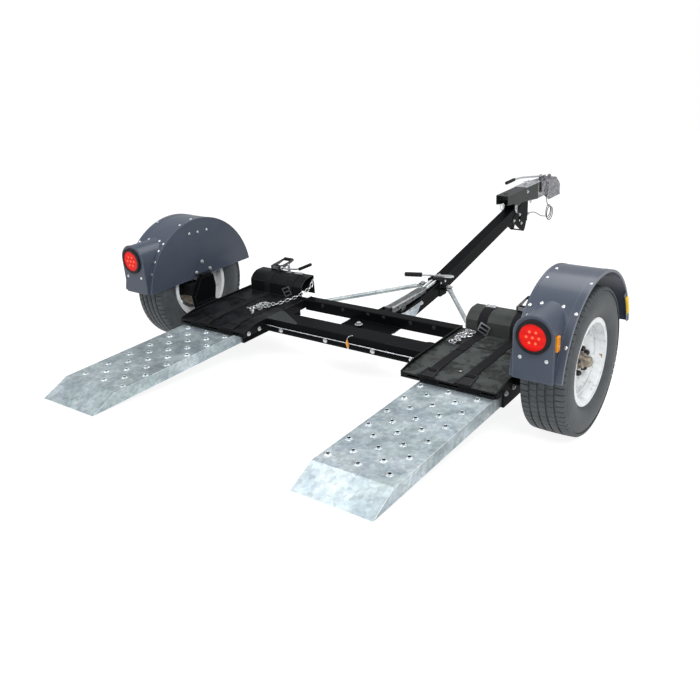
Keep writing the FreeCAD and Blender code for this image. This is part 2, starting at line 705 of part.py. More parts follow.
def light_hole():
    return Part.makeCylinder(LENS_RADIUS + 2, 60, Vector(LIGHT_OUT, -FENDER_REAR - 30, LIGHT_HEIGHT),
                             Vector(0, 1, 0))


def light_grommet():
    """Black ring pressed around the lens, with a sleeve through the housing's rear face."""
    axis = Vector(0, 1, 0)
    face = -FENDER_REAR
    front = face - RING_THICKNESS
    ring = Part.makeCylinder(LENS_RADIUS + RING_WIDTH, RING_THICKNESS,
                             Vector(LIGHT_OUT, front, LIGHT_HEIGHT), axis)
    ring = ring.makeFillet(4, [e for e in ring.Edges if e.BoundBox.YMax < front + 0.1])
    sleeve = Part.makeCylinder(LENS_RADIUS + 2, LENS_THICKNESS - 2,
                               Vector(LIGHT_OUT, face - 1, LIGHT_HEIGHT), axis)
    bore = Part.makeCylinder(LENS_RADIUS, 80, Vector(LIGHT_OUT, face - 20, LIGHT_HEIGHT), axis)
    return ring.fuse(sleeve).cut(bore).removeSplitter()


def light_lens():
    front = 4 - FENDER_REAR - RING_THICKNESS
    body = Part.makeCylinder(LENS_RADIUS, LENS_THICKNESS, Vector(LIGHT_OUT, front, LIGHT_HEIGHT),
                             Vector(0, 1, 0))
    return body.makeFillet(5, [e for e in body.Edges if e.BoundBox.YMax < front + 0.1])


def side_marker():
    """Amber marker on the outer side of the light housing."""
    x = LIGHT_OUT + BOX_HALF_WIDTH
    y = -FENDER_REAR + 14
    z = LIGHT_HEIGHT - 22
    body = box(x, x + MARKER_THICKNESS, y, y + MARKER_WIDTH, z - MARKER_LENGTH / 2,
               z + MARKER_LENGTH / 2)
    return body.makeFillet(4, [e for e in body.Edges if e.BoundBox.XMin > x + 9])


def front_marker():
    """Amber marker seated on the front end of the cover."""
    angle = math.radians(MARKER_ANGLE)
    x = FENDER_INNER + FENDER_WIDTH - 40
    top = MARKER_THICKNESS + 2
    body = box(-MARKER_WIDTH / 2, MARKER_WIDTH / 2, 0, top, -MARKER_LENGTH / 2,
               MARKER_LENGTH / 2)
    body = body.makeFillet(4, [e for e in body.Edges if e.BoundBox.YMin > top - 1])
    body.rotate(Vector(0, 0, 0), Vector(1, 0, 0), MARKER_ANGLE)
    reach = FENDER_RADIUS - 2
    body.translate(Vector(x, FENDER_AHEAD + reach * math.cos(angle),
                          FENDER_CENTRE + reach * math.sin(angle)))
    return body.cut(cover_solid())


def cover_solid():
    shape = cover_face(0).extrude(Vector(FENDER_WIDTH, 0, 0))
    shape.translate(Vector(FENDER_INNER, 0, 0))
    return shape


def fender_bracket():
    """Triangular pad and arm that hold the inner skirt on the spindle bracket."""
    x0 = bracket_inner()
    low = BRACKET_TOP + 12
    x1 = FENDER_INNER
    pad = yz_prism([(-66, low), (66, low), (14, low + 84), (-14, low + 84)], x1 - 7, x1)
    arm = box(x0 + 8, x1 - 6, -40, 30, BRACKET_TOP, low)
    rise = box(x1 - 7, x1, -40, 30, BRACKET_TOP, low + 18)
    return fuse([pad, arm, rise])


# Tongue assembly, tilting about the pivot under the front tube

def tongue_centre(y):
    if y < KNEE_AHEAD:
        return KNEE_HEIGHT - (KNEE_AHEAD - y) * math.tan(math.radians(LOWER_SLOPE))
    return KNEE_HEIGHT + (y - KNEE_AHEAD) * math.tan(math.radians(UPPER_SLOPE))


def tongue_half(y, half):
    """Vertical distance from the centreline to the tube's face, blended at the knee."""
    lower = half / math.cos(math.radians(LOWER_SLOPE))
    upper = half / math.cos(math.radians(UPPER_SLOPE))
    knee = 0.5 * (lower + upper)
    if y < KNEE_AHEAD:
        return lower + (knee - lower) * (y - TONGUE_START) / (KNEE_AHEAD - TONGUE_START)
    return knee + (upper - knee) * (y - KNEE_AHEAD) / (TONGUE_END - KNEE_AHEAD)


def tongue_top(y):
    return tongue_centre(y) + tongue_half(y, TONGUE_SIZE / 2)


def tongue_outline(half):
    """Lower and upper edge of the bent tube, as (y, z) points."""
    stations = (TONGUE_START, KNEE_AHEAD, TONGUE_END)
    bottom = [(y, tongue_centre(y) - tongue_half(y, half)) for y in stations]
    top = [(y, tongue_centre(y) + tongue_half(y, half)) for y in reversed(stations)]
    return bottom, top


def tongue_tube():
    half = TONGUE_SIZE / 2
    bottom, top = tongue_outline(half)
    outer = yz_prism(bottom + top, -half, half)
    low, high = tongue_outline(half - TONGUE_WALL)
    inner = yz_prism(low + high, -half + TONGUE_WALL, half - TONGUE_WALL)
    return outer.cut(inner)


def pivot_cheeks():
    """Galvanised side plates that carry the tongue's rear end on the pivot pin."""
    half = TONGUE_SIZE / 2
    y0 = PIVOT_AHEAD + 142
    y1 = PIVOT_AHEAD + CHEEK_LENGTH
    points = [(PIVOT_AHEAD - 22, PIVOT_HEIGHT - 6), (PIVOT_AHEAD - 12, PIVOT_HEIGHT + 20),
              (PIVOT_AHEAD + 16, PIVOT_HEIGHT + 22), (y0, tongue_centre(y0) + 36),
              (y1, tongue_centre(y1) + 22), (y1 - 60, tongue_centre(y1 - 60) - 30),
              (TONGUE_START + 20, tongue_centre(TONGUE_START) - 34),
              (TONGUE_START - 6, tongue_centre(TONGUE_START) - 20)]
    plate = yz_prism(points, half, half + CHEEK_THICKNESS)
    hole = x_cylinder(PIVOT_PIN_RADIUS + SEAT, 0, 100, PIVOT_AHEAD, PIVOT_HEIGHT)
    plate = plate.cut(hole)
    return Part.makeCompound([plate, mirror(plate)])


def pivot_lugs():
    """Fixed lugs on the front tube's face with the tilt pin through them."""
    x0 = TONGUE_SIZE / 2 + CHEEK_THICKNESS + LUG_GAP
    x1 = x0 + LUG_THICKNESS
    face = TUBE_FRONT
    points = [(face, BEAM_TOP - 8), (face + 18, BEAM_TOP - 14), (PIVOT_AHEAD + 20, PIVOT_HEIGHT + 8),
              (PIVOT_AHEAD + 20, PIVOT_HEIGHT - 12), (PIVOT_AHEAD + 6, PIVOT_HEIGHT - 22),
              (face, PIVOT_HEIGHT - 14)]
    lug = yz_prism(points, x0, x1)
    pin = x_cylinder(PIVOT_PIN_RADIUS, -x1 - 6, x1 + 6, PIVOT_AHEAD, PIVOT_HEIGHT)
    head = x_cylinder(16, x1, x1 + 9, PIVOT_AHEAD, PIVOT_HEIGHT)
    return fuse([lug, mirror(lug), pin, head, mirror(head)])


def brace_lug():
    """Fixed clevis for the foot of the right-hand brace, with its pin."""
    face = TUBE_FRONT
    points = [(face, DECK_TOP - 6), (PIVOT_AHEAD + 11, PIVOT_HEIGHT + 12),
              (PIVOT_AHEAD + 11, PIVOT_HEIGHT - 12), (PIVOT_AHEAD - 2, PIVOT_HEIGHT - 18),
              (face - 6, PAN_BOTTOM - 1), (face, PAN_BOTTOM)]
    ears = []
    reach = BRACE_EYE / 2 + BRACE_LUG_GAP
    for x in (BRACE_FOOT_OUT - reach - 6, BRACE_FOOT_OUT + reach):
        ears.append(yz_prism(points, x, x + 6))
    half = reach + 9
    pin = x_cylinder(BRACE_PIN_RADIUS, BRACE_FOOT_OUT - half, BRACE_FOOT_OUT + half,
                     PIVOT_AHEAD, PIVOT_HEIGHT)
    return fuse(ears + [pin])


def brace_foot():
    return Vector(BRACE_FOOT_OUT, PIVOT_AHEAD, PIVOT_HEIGHT)


def brace_head():
    return Vector(BRACE_HEAD_OUT, COLLAR_AHEAD, tongue_centre(COLLAR_AHEAD) + 2)


def brace():
    """Galvanised strut from the collar down to the clevis on the pan's front corner."""
    foot = brace_foot()
    head = brace_head()
    along = head - foot
    along.normalize()
    turn = FreeCAD.Rotation(Vector(1, 0, 0), along)
    shank = rod(foot + along * 46, head - along * 40, BRACE_RADIUS)
    shank = shank.cut(rod(foot + along * 40, head - along * 34, BRACE_RADIUS - BRACE_WALL))
    eye = x_cylinder(15, foot.x - BRACE_EYE / 2, foot.x + BRACE_EYE / 2, foot.y, foot.z)
    upright = Part.makeBox(52, 11, 26, Vector(0, -5.5, -13))
    upright.Placement = FreeCAD.Placement(foot + along * 6, turn)
    flat = Part.makeBox(60, 26, 10, Vector(0, -13, -5))
    flat.Placement = FreeCAD.Placement(head - along * 66, turn)
    knob = Part.makeCylinder(18, 11, head - Vector(0, 0, 5.5), Vector(0, 0, 1))
    body = fuse([shank, eye, upright, flat, knob])
    hole_radius = BRACE_PIN_RADIUS + SEAT
    bore = x_cylinder(hole_radius, foot.x - 60, foot.x + 60, PIVOT_AHEAD, PIVOT_HEIGHT)
    hole = Part.makeCylinder(hole_radius, 60, head - Vector(0, 0, 30), Vector(0, 0, 1))
    return body.cut(bore).cut(hole)


def brace_collar():
    """Clamped band around the tongue at the knee, with an ear pair for each brace."""
    y0 = collar_rear()
    y1 = y0 + COLLAR_LENGTH
    half = TONGUE_SIZE / 2
    z0 = tongue_centre(y0) - half - COLLAR_WALL - 4
    outer = box(-half - COLLAR_WALL, half + COLLAR_WALL, y0, y1, z0, collar_top())
    bottom, top = tongue_outline(half)
    parts = [outer.cut(yz_prism(bottom + top, -half, half))]
    head = brace_head()
    for side in (1, -1):
        near = side * (half + COLLAR_WALL - 1)
        far = side * (BRACE_HEAD_OUT + 17)
        for z in (head.z - 12, head.z + 7):
            parts.append(box(min(near, far), max(near, far), head.y - 17, head.y + 17, z, z + 5))
        parts.append(Part.makeCylinder(BRACE_PIN_RADIUS, 34,
                                       Vector(side * head.x, head.y, head.z - 17)))
    post = Part.makeCylinder(POST_RADIUS, LEVER_POST, Vector(0, LEVER_AHEAD, collar_top() - 1))
    return fuse(parts + [post])


def collar_rear():
    return COLLAR_AHEAD - 20


def collar_top():
    return tongue_top(collar_rear() + COLLAR_LENGTH) + COLLAR_WALL


def latch_channel():
    """Long inverted channel of the tilt latch over the tongue's rear end, on a block."""
    w = LATCH_WIDTH / 2
    t = LATCH_WALL
    z1 = LATCH_TOP
    z0 = z1 - LATCH_HEIGHT
    front = tongue_top(LATCH_FRONT)
    outer = yz_prism([(LATCH_REAR, z0), (LATCH_REAR, z1), (LATCH_FRONT, front + 26),
                      (LATCH_FRONT, front)], -w, w)
    inner = yz_prism([(LATCH_REAR - 1, z0 - 1), (LATCH_REAR - 1, z1 - t),
                      (LATCH_FRONT + 1, front + 26 - t), (LATCH_FRONT + 1, front - 1)],
                     t - w, w - t)
    channel = outer.cut(inner)
    slope = (front - z0) / (LATCH_FRONT - LATCH_REAR)
    for index in range(LATCH_HOLES):
        ahead = 60 + LATCH_HOLE_PITCH * index
        channel = channel.cut(x_cylinder(7, -60, 60, LATCH_REAR + ahead, z0 + 15 + slope * ahead))
    a = LATCH_REAR + 100
    b = a + 44
    block = yz_prism([(a, tongue_top(a)), (a, z1 - t + 1), (b, z1 - t + 1), (b, tongue_top(b))],
                     t - w, w - t)
    return fuse([channel, block])


def latch_rods():
    """Spring rods of the latch between the channel and the collar."""
    parts = []
    for x in (-13, 13):
        start = Vector(x, LATCH_FRONT - 30, tongue_top(LATCH_FRONT - 30) + 12)
        end = Vector(x, collar_rear() + 2, tongue_top(collar_rear()) + 12)
        path = end - start
        spring = rod(start + path * 0.32, start + path * 0.86, 10.5)
        parts.append(fuse([rod(start, end, 5.5), spring]))
    return Part.makeCompound(parts)


def latch_catch():
    """Hook plate on the front tube that the latch channel's end locks into."""
    y0 = TUBE_FRONT
    y1 = LATCH_REAR - RUN
    base = box(-28, 28, y0, y0 + 8, LATCH_TOP - 38, BEAM_TOP - 3)
    left = box(-28, -20, y0 + 7, y1, LATCH_TOP - 26, BEAM_TOP - 3)
    right = box(20, 28, y0 + 7, y1, LATCH_TOP - 26, BEAM_TOP - 3)
    return fuse([base, left, right])


def tilt_lever():
    """Flat plate on the post with a bent rod and a grip to the left."""
    z0 = collar_top() + SEAT
    plate = xy_prism([(-26, -14), (-26, 14), (78, 17), (96, 0), (78, -17)], z0, z0 + 9)
    shank = x_cylinder(LEVER_ROD_RADIUS, -110, -20, 0, z0 + 7)
    grip = x_cylinder(LEVER_GRIP_RADIUS, -208, -104, 0, z0 + 9)
    lever = fuse([plate, shank, grip])
    lever.rotate(Vector(0, 0, 0), Vector(0, 0, 1), LEVER_TURN)
    lever.translate(Vector(0, LEVER_AHEAD, 0))
    return lever.cut(Part.makeCylinder(POST_RADIUS + SEAT, 100, Vector(0, LEVER_AHEAD, z0 - 20)))


# Surge coupler on the tongue's end

def case_bottom(y):
    """Lower edge of the case's side walls: shallow at the back, deep at the front."""
    share = (y - CASE_REAR) / (CASE_FRONT - CASE_REAR)
    return CASE_TOP - CASE_REAR_HEIGHT - share * (CASE_FRONT_HEIGHT - CASE_REAR_HEIGHT)


def coupler_case():
    """Folded case, open at both ends and below, standing on the tongue by two cheeks."""
    w = CASE_HALF_WIDTH
    t = CASE_WALL
    side = [(CASE_REAR, case_bottom(CASE_REAR)), (CASE_REAR, CASE_TOP), (CASE_FRONT, CASE_TOP),
            (CASE_FRONT, case_bottom(CASE_FRONT))]
    outer = yz_prism(side, -w, w)
    inner = box(t - w, w - t, CASE_REAR - 1, CASE_FRONT + 1, CASE_TOP - 2 * CASE_FRONT_HEIGHT,
                CASE_TOP - t)
    hole = Part.makeCylinder(CASE_HOLE_RADIUS, 20, Vector(0, CASE_REAR + 60, CASE_TOP - 10))
    lips = []
    for x in (t - w - 1, w - t - CASE_LIP):
        y = CASE_REAR + CASE_FLOOR
        lips.append(yz_prism([(CASE_REAR, case_bottom(CASE_REAR)),
                              (CASE_REAR, case_bottom(CASE_REAR) + t), (y, case_bottom(y) + t),
                              (y, case_bottom(y))], x, x + CASE_LIP + 1))
    a = TONGUE_END - 130
    b = TONGUE_END - 6
    cheek = yz_prism([(a, tongue_top(a)), (a, case_bottom(a) + 14), (b, case_bottom(b) + 14),
                      (b, tongue_top(b))], w - t - 6, w - t)
    parts = [outer.cut(inner).cut(hole), cheek, mirror(cheek)] + lips
    for y in (CASE_FRONT - 150, CASE_FRONT - 40):
        pad = box(SLIDE_HALF_WIDTH + SEAT, w - t, y, y + 36, slide_top() - 50, slide_top() - 10)
        parts += [pad, mirror(pad)]
    return fuse(parts)


def stand_front():
    return TONGUE_END + 86


def stand_foot():
    return tongue_centre(TONGUE_END) - STAND_DROP


def coupler_stand():
    """V-shaped plate foot under the tongue's end, with a triangular window."""
    half = TONGUE_SIZE / 2
    end = TONGUE_END
    rear = end - 165
    front = stand_front()
    foot = stand_foot()
    points = [(rear, tongue_centre(rear) - 30), (rear + 60, tongue_centre(rear + 60) + 6),
              (end, case_bottom(end) - 1), (front, case_bottom(front) - 1),
              (front, foot + 104), (end + 42, foot + 12), (end + 26, foot), (end - 6, foot + 8)]
    plate = yz_prism(points, half, half + STAND_SHEET)
    under = tongue_centre(end - 44) - half / math.cos(math.radians(UPPER_SLOPE))
    window = yz_prism([(end - 66, under - 10), (end - 20, under - 2), (end - 40, under - 54)],
                      half - 1, half + STAND_SHEET + 1)
    plate = plate.cut(window)
    cross = box(-half - 1, half + 1, end + 6, end + 28, foot + 6, foot + 10)
    bulkhead = box(-half - 1, half + 1, front - 4, front, foot + 62, foot + 108)
    return fuse([plate, mirror(plate), cross, bulkhead])


def reservoir():
    """Plated lid with the brake-fluid cap on top of the case."""
    w = CASE_HALF_WIDTH + 1
    rear = CASE_FRONT + 30 - LID_LENGTH
    lid = box(-w, w, rear, CASE_FRONT + 30, CASE_TOP, CASE_TOP + LID_SHEET)
    middle = rear + 0.45 * LID_LENGTH
    cap = Part.makeCylinder(CAP_RADIUS, 18, Vector(0, middle, CASE_TOP + 1))
    cap = cap.cut(Part.makeCylinder(CAP_RADIUS - 4, 12, Vector(0, middle, CASE_TOP)))
    return lid.fuse(cap).removeSplitter()


def slide_top():
    return CASE_TOP - CASE_WALL - RUN - 3


def inner_slide():
    """Tube that slides in the case and carries the coupler head."""
    w = SLIDE_HALF_WIDTH
    t = SLIDE_WALL
    y0 = TONGUE_END + 14 + SLIDE_TRAVEL
    y1 = HEAD_REAR + HEAD_LAP
    z1 = slide_top()
    outer = box(-w, w, y0, y1, z1 - SLIDE_HEIGHT, z1)
    return outer.cut(box(t - w, w - t, y0 - 1, y1 + 1, z1 - SLIDE_HEIGHT + t, z1 - t))


def socket_low():
    return BALL_HEIGHT - SOCKET_DEPTH


def head_neck():
    """Solid outline of the tapered neck, from the slide to over the ball."""
    t = HEAD_WALL
    top = CASE_TOP - 6
    kink = HEAD_REAR + NECK_LENGTH
    low = socket_low()
    return yz_prism([(HEAD_REAR, slide_top() - SLIDE_HEIGHT - t), (HEAD_REAR, top),
                     (kink, top - 8), (BALL_AHEAD - 70, top - 14),
                     (BALL_AHEAD, BALL_HEIGHT + 60), (BALL_AHEAD, low), (kink, low)],
                    -HEAD_HALF_WIDTH, HEAD_HALF_WIDTH)


def head_shoulder():
    """Round front of the head over the ball, sloped off at the top."""
    w = HEAD_HALF_WIDTH
    top = CASE_TOP - 20
    shoulder = Part.makeCylinder(w, 86, Vector(0, BALL_AHEAD, socket_low()))
    crown = Part.makeCone(w, 20, 42, Vector(0, BALL_AHEAD, BALL_HEIGHT + 60))
    above = yz_prism([(BALL_AHEAD - 70, top), (BALL_AHEAD - 70, top + 94),
                      (BALL_AHEAD + 145, top + 94), (BALL_AHEAD + 145, BALL_HEIGHT - 20),
                      (BALL_AHEAD + w + 2, BALL_HEIGHT + 10), (BALL_AHEAD, BALL_HEIGHT + 60)],
                     -2 * w, 2 * w)
    return shoulder.fuse(crown).cut(above)


def head_hollow():
    """Inside of the neck and of the round front, open below."""
    w = HEAD_HALF_WIDTH
    t = HEAD_WALL
    top = CASE_TOP - 6
    low = socket_low()
    kink = HEAD_REAR + NECK_LENGTH
    lap = HEAD_REAR + HEAD_LAP + 2
    neck = yz_prism([(HEAD_REAR - 1, slide_top() - SLIDE_HEIGHT), (HEAD_REAR - 1, slide_top()),
                     (lap, slide_top()), (kink - 4, top - 8 - t), (BALL_AHEAD - 73, top - 14 - t),
                     (BALL_AHEAD - 8, BALL_HEIGHT + 48), (BALL_AHEAD - 8, low - 1),
                     (kink - 6, low - 1)], t - w, w - t)
    front = Part.makeCylinder(w - t, 200, Vector(0, BALL_AHEAD, low - 1))
    front = front.common(yz_prism([(kink - 60, low - 1), (kink - 60, top + 120),
                                   (BALL_AHEAD - 20, BALL_HEIGHT + 48),
                                   (BALL_AHEAD + 80, BALL_HEIGHT + 30),
                                   (BALL_AHEAD + 80, low - 1)], -2 * w, 2 * w))
    return neck, front


def coupler_head():
    """Ball housing: hollow tapered neck, round cup over the ball, ears for the lever."""
    solid = head_neck().fuse(head_shoulder())
    neck, front = head_hollow()
    shell = solid.cut(neck).cut(front)
    low = socket_low()
    cup = Part.makeCylinder(BALL_RADIUS + 6, 70, Vector(0, BALL_AHEAD, low)).common(solid)
    head = shell.fuse(cup).fuse(head_ears())
    skirt = Part.makeCylinder(BALL_RADIUS, SOCKET_DEPTH + 1, Vector(0, BALL_AHEAD, low - 1))
    ball = Part.makeSphere(BALL_RADIUS, Vector(0, BALL_AHEAD, BALL_HEIGHT))
    return head.cut(skirt).cut(ball).removeSplitter()


def latch_pivot():
    return Vector(0, HEAD_REAR + 120, CASE_TOP + 8)


def head_ears():
    """Ears on the head that hold the latch lever's pin."""
    p = latch_pivot()
    parts = []
    for x in (-19, 14):
        parts.append(box(x, x + 5, p.y - 16, p.y + 20, CASE_TOP - 16, p.z + 11))
    parts.append(x_cylinder(LATCH_PIN_RADIUS, -24, 24, p.y, p.z))
    return fuse(parts)


def coupler_lever():
    """Latch lever rising back over the lid to its grip."""
    p = latch_pivot()
    boss = x_cylinder(11, -8, 8, p.y, p.z)
    bend = p + Vector(0, -350, 56)
    tip = p + Vector(0, -472, 67)
    shank = rod(p + Vector(0, -4, 3), bend, 6)
    back = rod(bend, tip, 6)
    joint = Part.makeSphere(6, bend)
    grip = rod(tip + Vector(0, 8, -0.5), p + Vector(0, -600, 66), 9)
    lever = fuse([boss, shank, joint, back, grip])
    return lever.cut(x_cylinder(LATCH_PIN_RADIUS + SEAT, -60, 60, p.y, p.z))


def connector_start():
    return Vector(0, stand_front(), stand_foot() + 86)


def line_connector():
    """Plated fitting on the stand's bulkhead where the cable and the brake line start."""
    p = connector_start()
    body = rod(p, p + Vector(0, 98, 0), 10)
    nut = Part.makeCylinder(17, 16, p, Vector(0, 1, 0))
    return body.fuse(nut).removeSplitter()


# Straps and ratchets, right-hand side

def strap(centre, tail):
    """Webbing along the deck, over the raised strip and up the wheel stop."""
    t = STRAP_SHEET
    z0 = DECK_TOP + SEAT
    rise = STRIP_HEIGHT + SEAT
    a = STRIP_REAR
    b = STRIP_REAR + STRIP_WIDTH
    foot = STOP_REAR - SEAT - t
    points = [(tail, deck_height(tail) + SEAT), (DECK_BEND, z0), (a - 14, z0), (a - 1, z0 + rise),
              (b + 1, z0 + rise), (b + 14, z0), (foot + 1, z0)]
    upper = [(y, z + t) for y, z in points]
    flat = yz_prism(points + upper[::-1], 0, STRAP_WIDTH)
    over = stop_outline(-SEAT - t).extrude(Vector(STRAP_WIDTH, 0, 0))
    over = over.cut(stop_outline(-SEAT).extrude(Vector(STRAP_WIDTH, 0, 0)))
    limit = box(-1, STRAP_WIDTH + 1, foot - 10, STOP_FRONT - 60, z0, STOP_TOP + 20)
    band = fuse([flat, over.common(limit)])
    band.translate(Vector(centre - STRAP_WIDTH / 2, 0, 0))
    return band


def ratchet(x, y):
    """Ratchet frame with its spool, sitting on the wheel stop."""
    z0 = STOP_TOP + SEAT
    w = RATCHET_HALF_WIDTH
    t = RATCHET_PLATE
    axis = z0 + SPOOL_RISE
    base = box(x - w, x + w, y - 21, y + 18, z0, z0 + t)
    left = box(x - w, x - w + t, y - 20, y + 18, z0, z0 + 34)
    right = box(x + w - t, x + w, y - 20, y + 18, z0, z0 + 34)
    spool = x_cylinder(SPOOL_RADIUS, x - w - 8, x + w + 8, y, axis)
    roll = x_cylinder(SPOOL_RADIUS + 7, x - w + 8, x + w - 8, y, axis)
    return fuse([base, left, right, spool, roll])


def ratchet_handle(x, y):
    """Handle that swings on the spool's ends."""
    z0 = STOP_TOP + SEAT
    near = RATCHET_HALF_WIDTH + HANDLE_SHEET
    far = near + HANDLE_SHEET
    end = y + HANDLE_LENGTH
    hole = x_cylinder(SPOOL_RADIUS + SEAT, x - 2 * far, x + 2 * far, y, z0 + SPOOL_RISE)
    parts = []
    for side in (1, -1):
        a = x + side * near
        b = x + side * far
        plate = yz_prism([(y - 12, z0 + 8), (y - 12, z0 + 30), (y + 12, z0 + 34), (end, z0 + 44),
                          (end, z0 + 32), (y + 12, z0 + 8)], min(a, b), max(a, b))
        parts.append(plate.cut(hole))
    parts.append(x_cylinder(9, x - near, x + near, end - 8, z0 + 38))
    return fuse(parts)


# Breakaway cable, from the fitting through two hanging loops up to the head's side

def loop_points():
    """Two turns and a half below the head, each a little behind and below the last."""
    points = []
    turns = 2 * LOOP_STEPS
    for index in range(turns + 6):
        angle = math.radians(-135 + 360 * index / LOOP_STEPS)
        share = min(1.0, index / turns)
        y = LOOP_AHEAD - 45 * share + LOOP_RADIUS * math.cos(angle)
        z = LOOP_HEIGHT - 12 * share + LOOP_RADIUS * math.sin(angle)
        points.append(Vector(4 + 2 * index, y, z))
    return points


def cable_route():
    start = connector_start() + Vector(0, 98, 0)
    side = HEAD_HALF_WIDTH + CABLE_RADIUS + SEAT
    lead = [start]
    for x, ahead, down in ((0, 54, 2), (0, 109, 13), (0, 160, 33), (1, 208, 58), (2, 258, 77)):
        lead.append(start + Vector(x, ahead, -down))
    rise = []
    for x, ahead, up in ((48, 150, -76), (side, 117, -53), (side, 96, -19), (side, 90, 23)):
        rise.append(Vector(x, HEAD_REAR + ahead, BALL_HEIGHT + up))
    return lead + loop_points() + rise


def breakaway_cable():
    return sweep_tube(tangent_path(cable_route()), CABLE_RADIUS)


def tangent_path(points):
    """Straight runs joined by arcs as large as the shorter run beside each turn allows."""
    edges = []
    radii = []
    start = points[0]
    for before, corner, after in zip(points, points[1:], points[2:]):
        back = before - corner
        ahead = after - corner
        run = 0.45 * min(back.Length, ahead.Length)
        half = back.getAngle(ahead) / 2
        radius = run * math.tan(half)
        radii.append(round(radius, 1))
        back.normalize()
        ahead.normalize()
        inward = back + ahead
        inward.normalize()
        a = corner + back * run
        b = corner + ahead * run
        middle = corner + inward * (radius / math.sin(half) - radius)
        edges.append(Part.makeLine(start, a))
        edges.append(Part.Arc(a, middle, b).toShape())
        start = b
    edges.append(Part.makeLine(start, points[-1]))
    print("smallest bend of the cable", min(radii))
    return Part.Wire(edges)


def sweep_tube(path, radius):
    first = path.Edges[0]
    start = first.Vertexes[0].Point
    direction = first.tangentAt(first.FirstParameter)
    circle = Part.Wire([Part.Circle(start, direction, radius).toShape()])
    return path.makePipeShell([circle], True, True)


# Assembly

def own_nodes():
    """Right-hand pieces whose left twin is a node of its own."""
    stop_x = PAN_INNER + STOP_INSET
    ratchet_at = (stop_x + STRAP_OUTER_OFF, STOP_FRONT - RATCHET_BACK)
    return {
        "wheel_pan": wheel_pan(),
        "ramp": ramp(),
        "tyre": tyre(),
        "rim": drilled_rim(),
        "hub": hub(),
        "fender": fender(),
        "ratchet_handle": ratchet_handle(*ratchet_at),
    }


def paired_nodes():
    """Pieces whose right and left solids share one node."""
    stop_x = PAN_INNER + STOP_INSET
    ratchet_at = (stop_x + STRAP_OUTER_OFF, STOP_FRONT - RATCHET_BACK)
    return {
        "pan_cross_tubes": pan_cross_tubes(),
        "ramp_guides": ramp_guides(),
        "wheel_stops": wheel_stop(),
        "axle_ends": axle_end(),
        "brake_calipers": brake_caliper(),
        "fender_brackets": fender_bracket(),
        "tail_light_rings": light_grommet(),
        "tail_light_lenses": light_lens(),
        "marker_lights": Part.makeCompound([side_marker(), front_marker()]),
        "brace_lugs": brace_lug(),
        "tongue_braces": brace(),
        "wheel_straps": Part.makeCompound([strap(stop_x + STRAP_INNER_OFF, STRAP_TAIL),
                                           strap(stop_x + STRAP_OUTER_OFF, STRAP_TAIL + 20)]),
        "ratchets": ratchet(*ratchet_at),
    }


def centre_nodes():
    return {
        "axle_beam": axle_beam(),
        "front_cross_tube": front_cross_tube(),
        "centre_plate": centre_plate(),
        "pivot_lugs": pivot_lugs(),
        "tongue_tube": tongue_tube(),
        "pivot_cheeks": pivot_cheeks(),
        "brace_collar": brace_collar(),
        "latch_channel": latch_channel(),
        "latch_rods": latch_rods(),
        "latch_catch": latch_catch(),
        "tilt_lever": tilt_lever(),
        "coupler_case": coupler_case(),
        "coupler_stand": coupler_stand(),
        "reservoir_lid": reservoir(),
        "inner_slide": inner_slide(),
        "coupler_head": coupler_head(),
        "coupler_lever": coupler_lever(),
        "line_connector": line_connector(),
        "breakaway_cable": breakaway_cable(),
    }


def bed_tilt():
    """Angle about the wheel axis that brings the ramp noses down to the ground."""
    back = -RAMP_NOSE
    drop = TYRE_RADIUS - RAMP_BOTTOM
    reach = math.hypot(back, drop)
    return math.degrees(math.asin(TYRE_RADIUS / reach) - math.atan2(drop, back))


def all_nodes():
    nodes = centre_nodes()
    for name, shape in own_nodes().items():
        nodes[name + "_right"] = shape
        nodes[name + "_left"] = mirror(shape)
    for name, shape in paired_nodes().items():
        nodes[name] = Part.makeCompound(shape.Solids + mirror(shape).Solids)
    return nodes


def main():
    nodes = all_nodes()
    tilt = bed_tilt()
    axis_point = Vector(0, 0, TYRE_RADIUS)
    for shape in nodes.values():
        shape.rotate(axis_point, Vector(1, 0, 0), tilt)
    head = nodes["coupler_head"].optimalBoundingBox(False)
    rear = nodes["ramp_right"].optimalBoundingBox(False)
    shift = -(head.YMax + rear.YMin) / 2
    os.makedirs(OUT, exist_ok=True)
    for name, shape in nodes.items():
        shape.translate(Vector(0, shift, 0))
        shape.exportStep(os.path.join(OUT, name + ".step"))
    print("tilt", round(tilt, 4), "shift", round(shift, 3))


main()
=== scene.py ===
import json
from math import atan2, cos, pi, radians, sin
import random

import bmesh
import bpy
from mathutils import Matrix, Vector


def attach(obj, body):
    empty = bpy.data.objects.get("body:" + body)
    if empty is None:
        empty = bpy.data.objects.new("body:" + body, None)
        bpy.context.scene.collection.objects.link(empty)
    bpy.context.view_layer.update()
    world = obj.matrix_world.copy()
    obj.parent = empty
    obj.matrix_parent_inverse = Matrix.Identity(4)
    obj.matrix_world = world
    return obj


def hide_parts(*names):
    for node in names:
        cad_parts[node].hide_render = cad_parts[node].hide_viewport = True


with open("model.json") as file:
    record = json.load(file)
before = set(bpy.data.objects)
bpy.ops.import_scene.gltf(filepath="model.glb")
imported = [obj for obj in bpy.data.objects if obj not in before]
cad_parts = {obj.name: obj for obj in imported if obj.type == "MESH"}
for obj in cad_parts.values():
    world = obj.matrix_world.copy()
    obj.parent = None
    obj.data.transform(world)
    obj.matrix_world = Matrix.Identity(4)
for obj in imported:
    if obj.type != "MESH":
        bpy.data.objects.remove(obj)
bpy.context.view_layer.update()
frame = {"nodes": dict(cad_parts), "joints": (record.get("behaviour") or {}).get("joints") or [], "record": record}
nodes = frame["nodes"]
joints = {j["name"]: j for j in frame["joints"]}
random.seed(7)

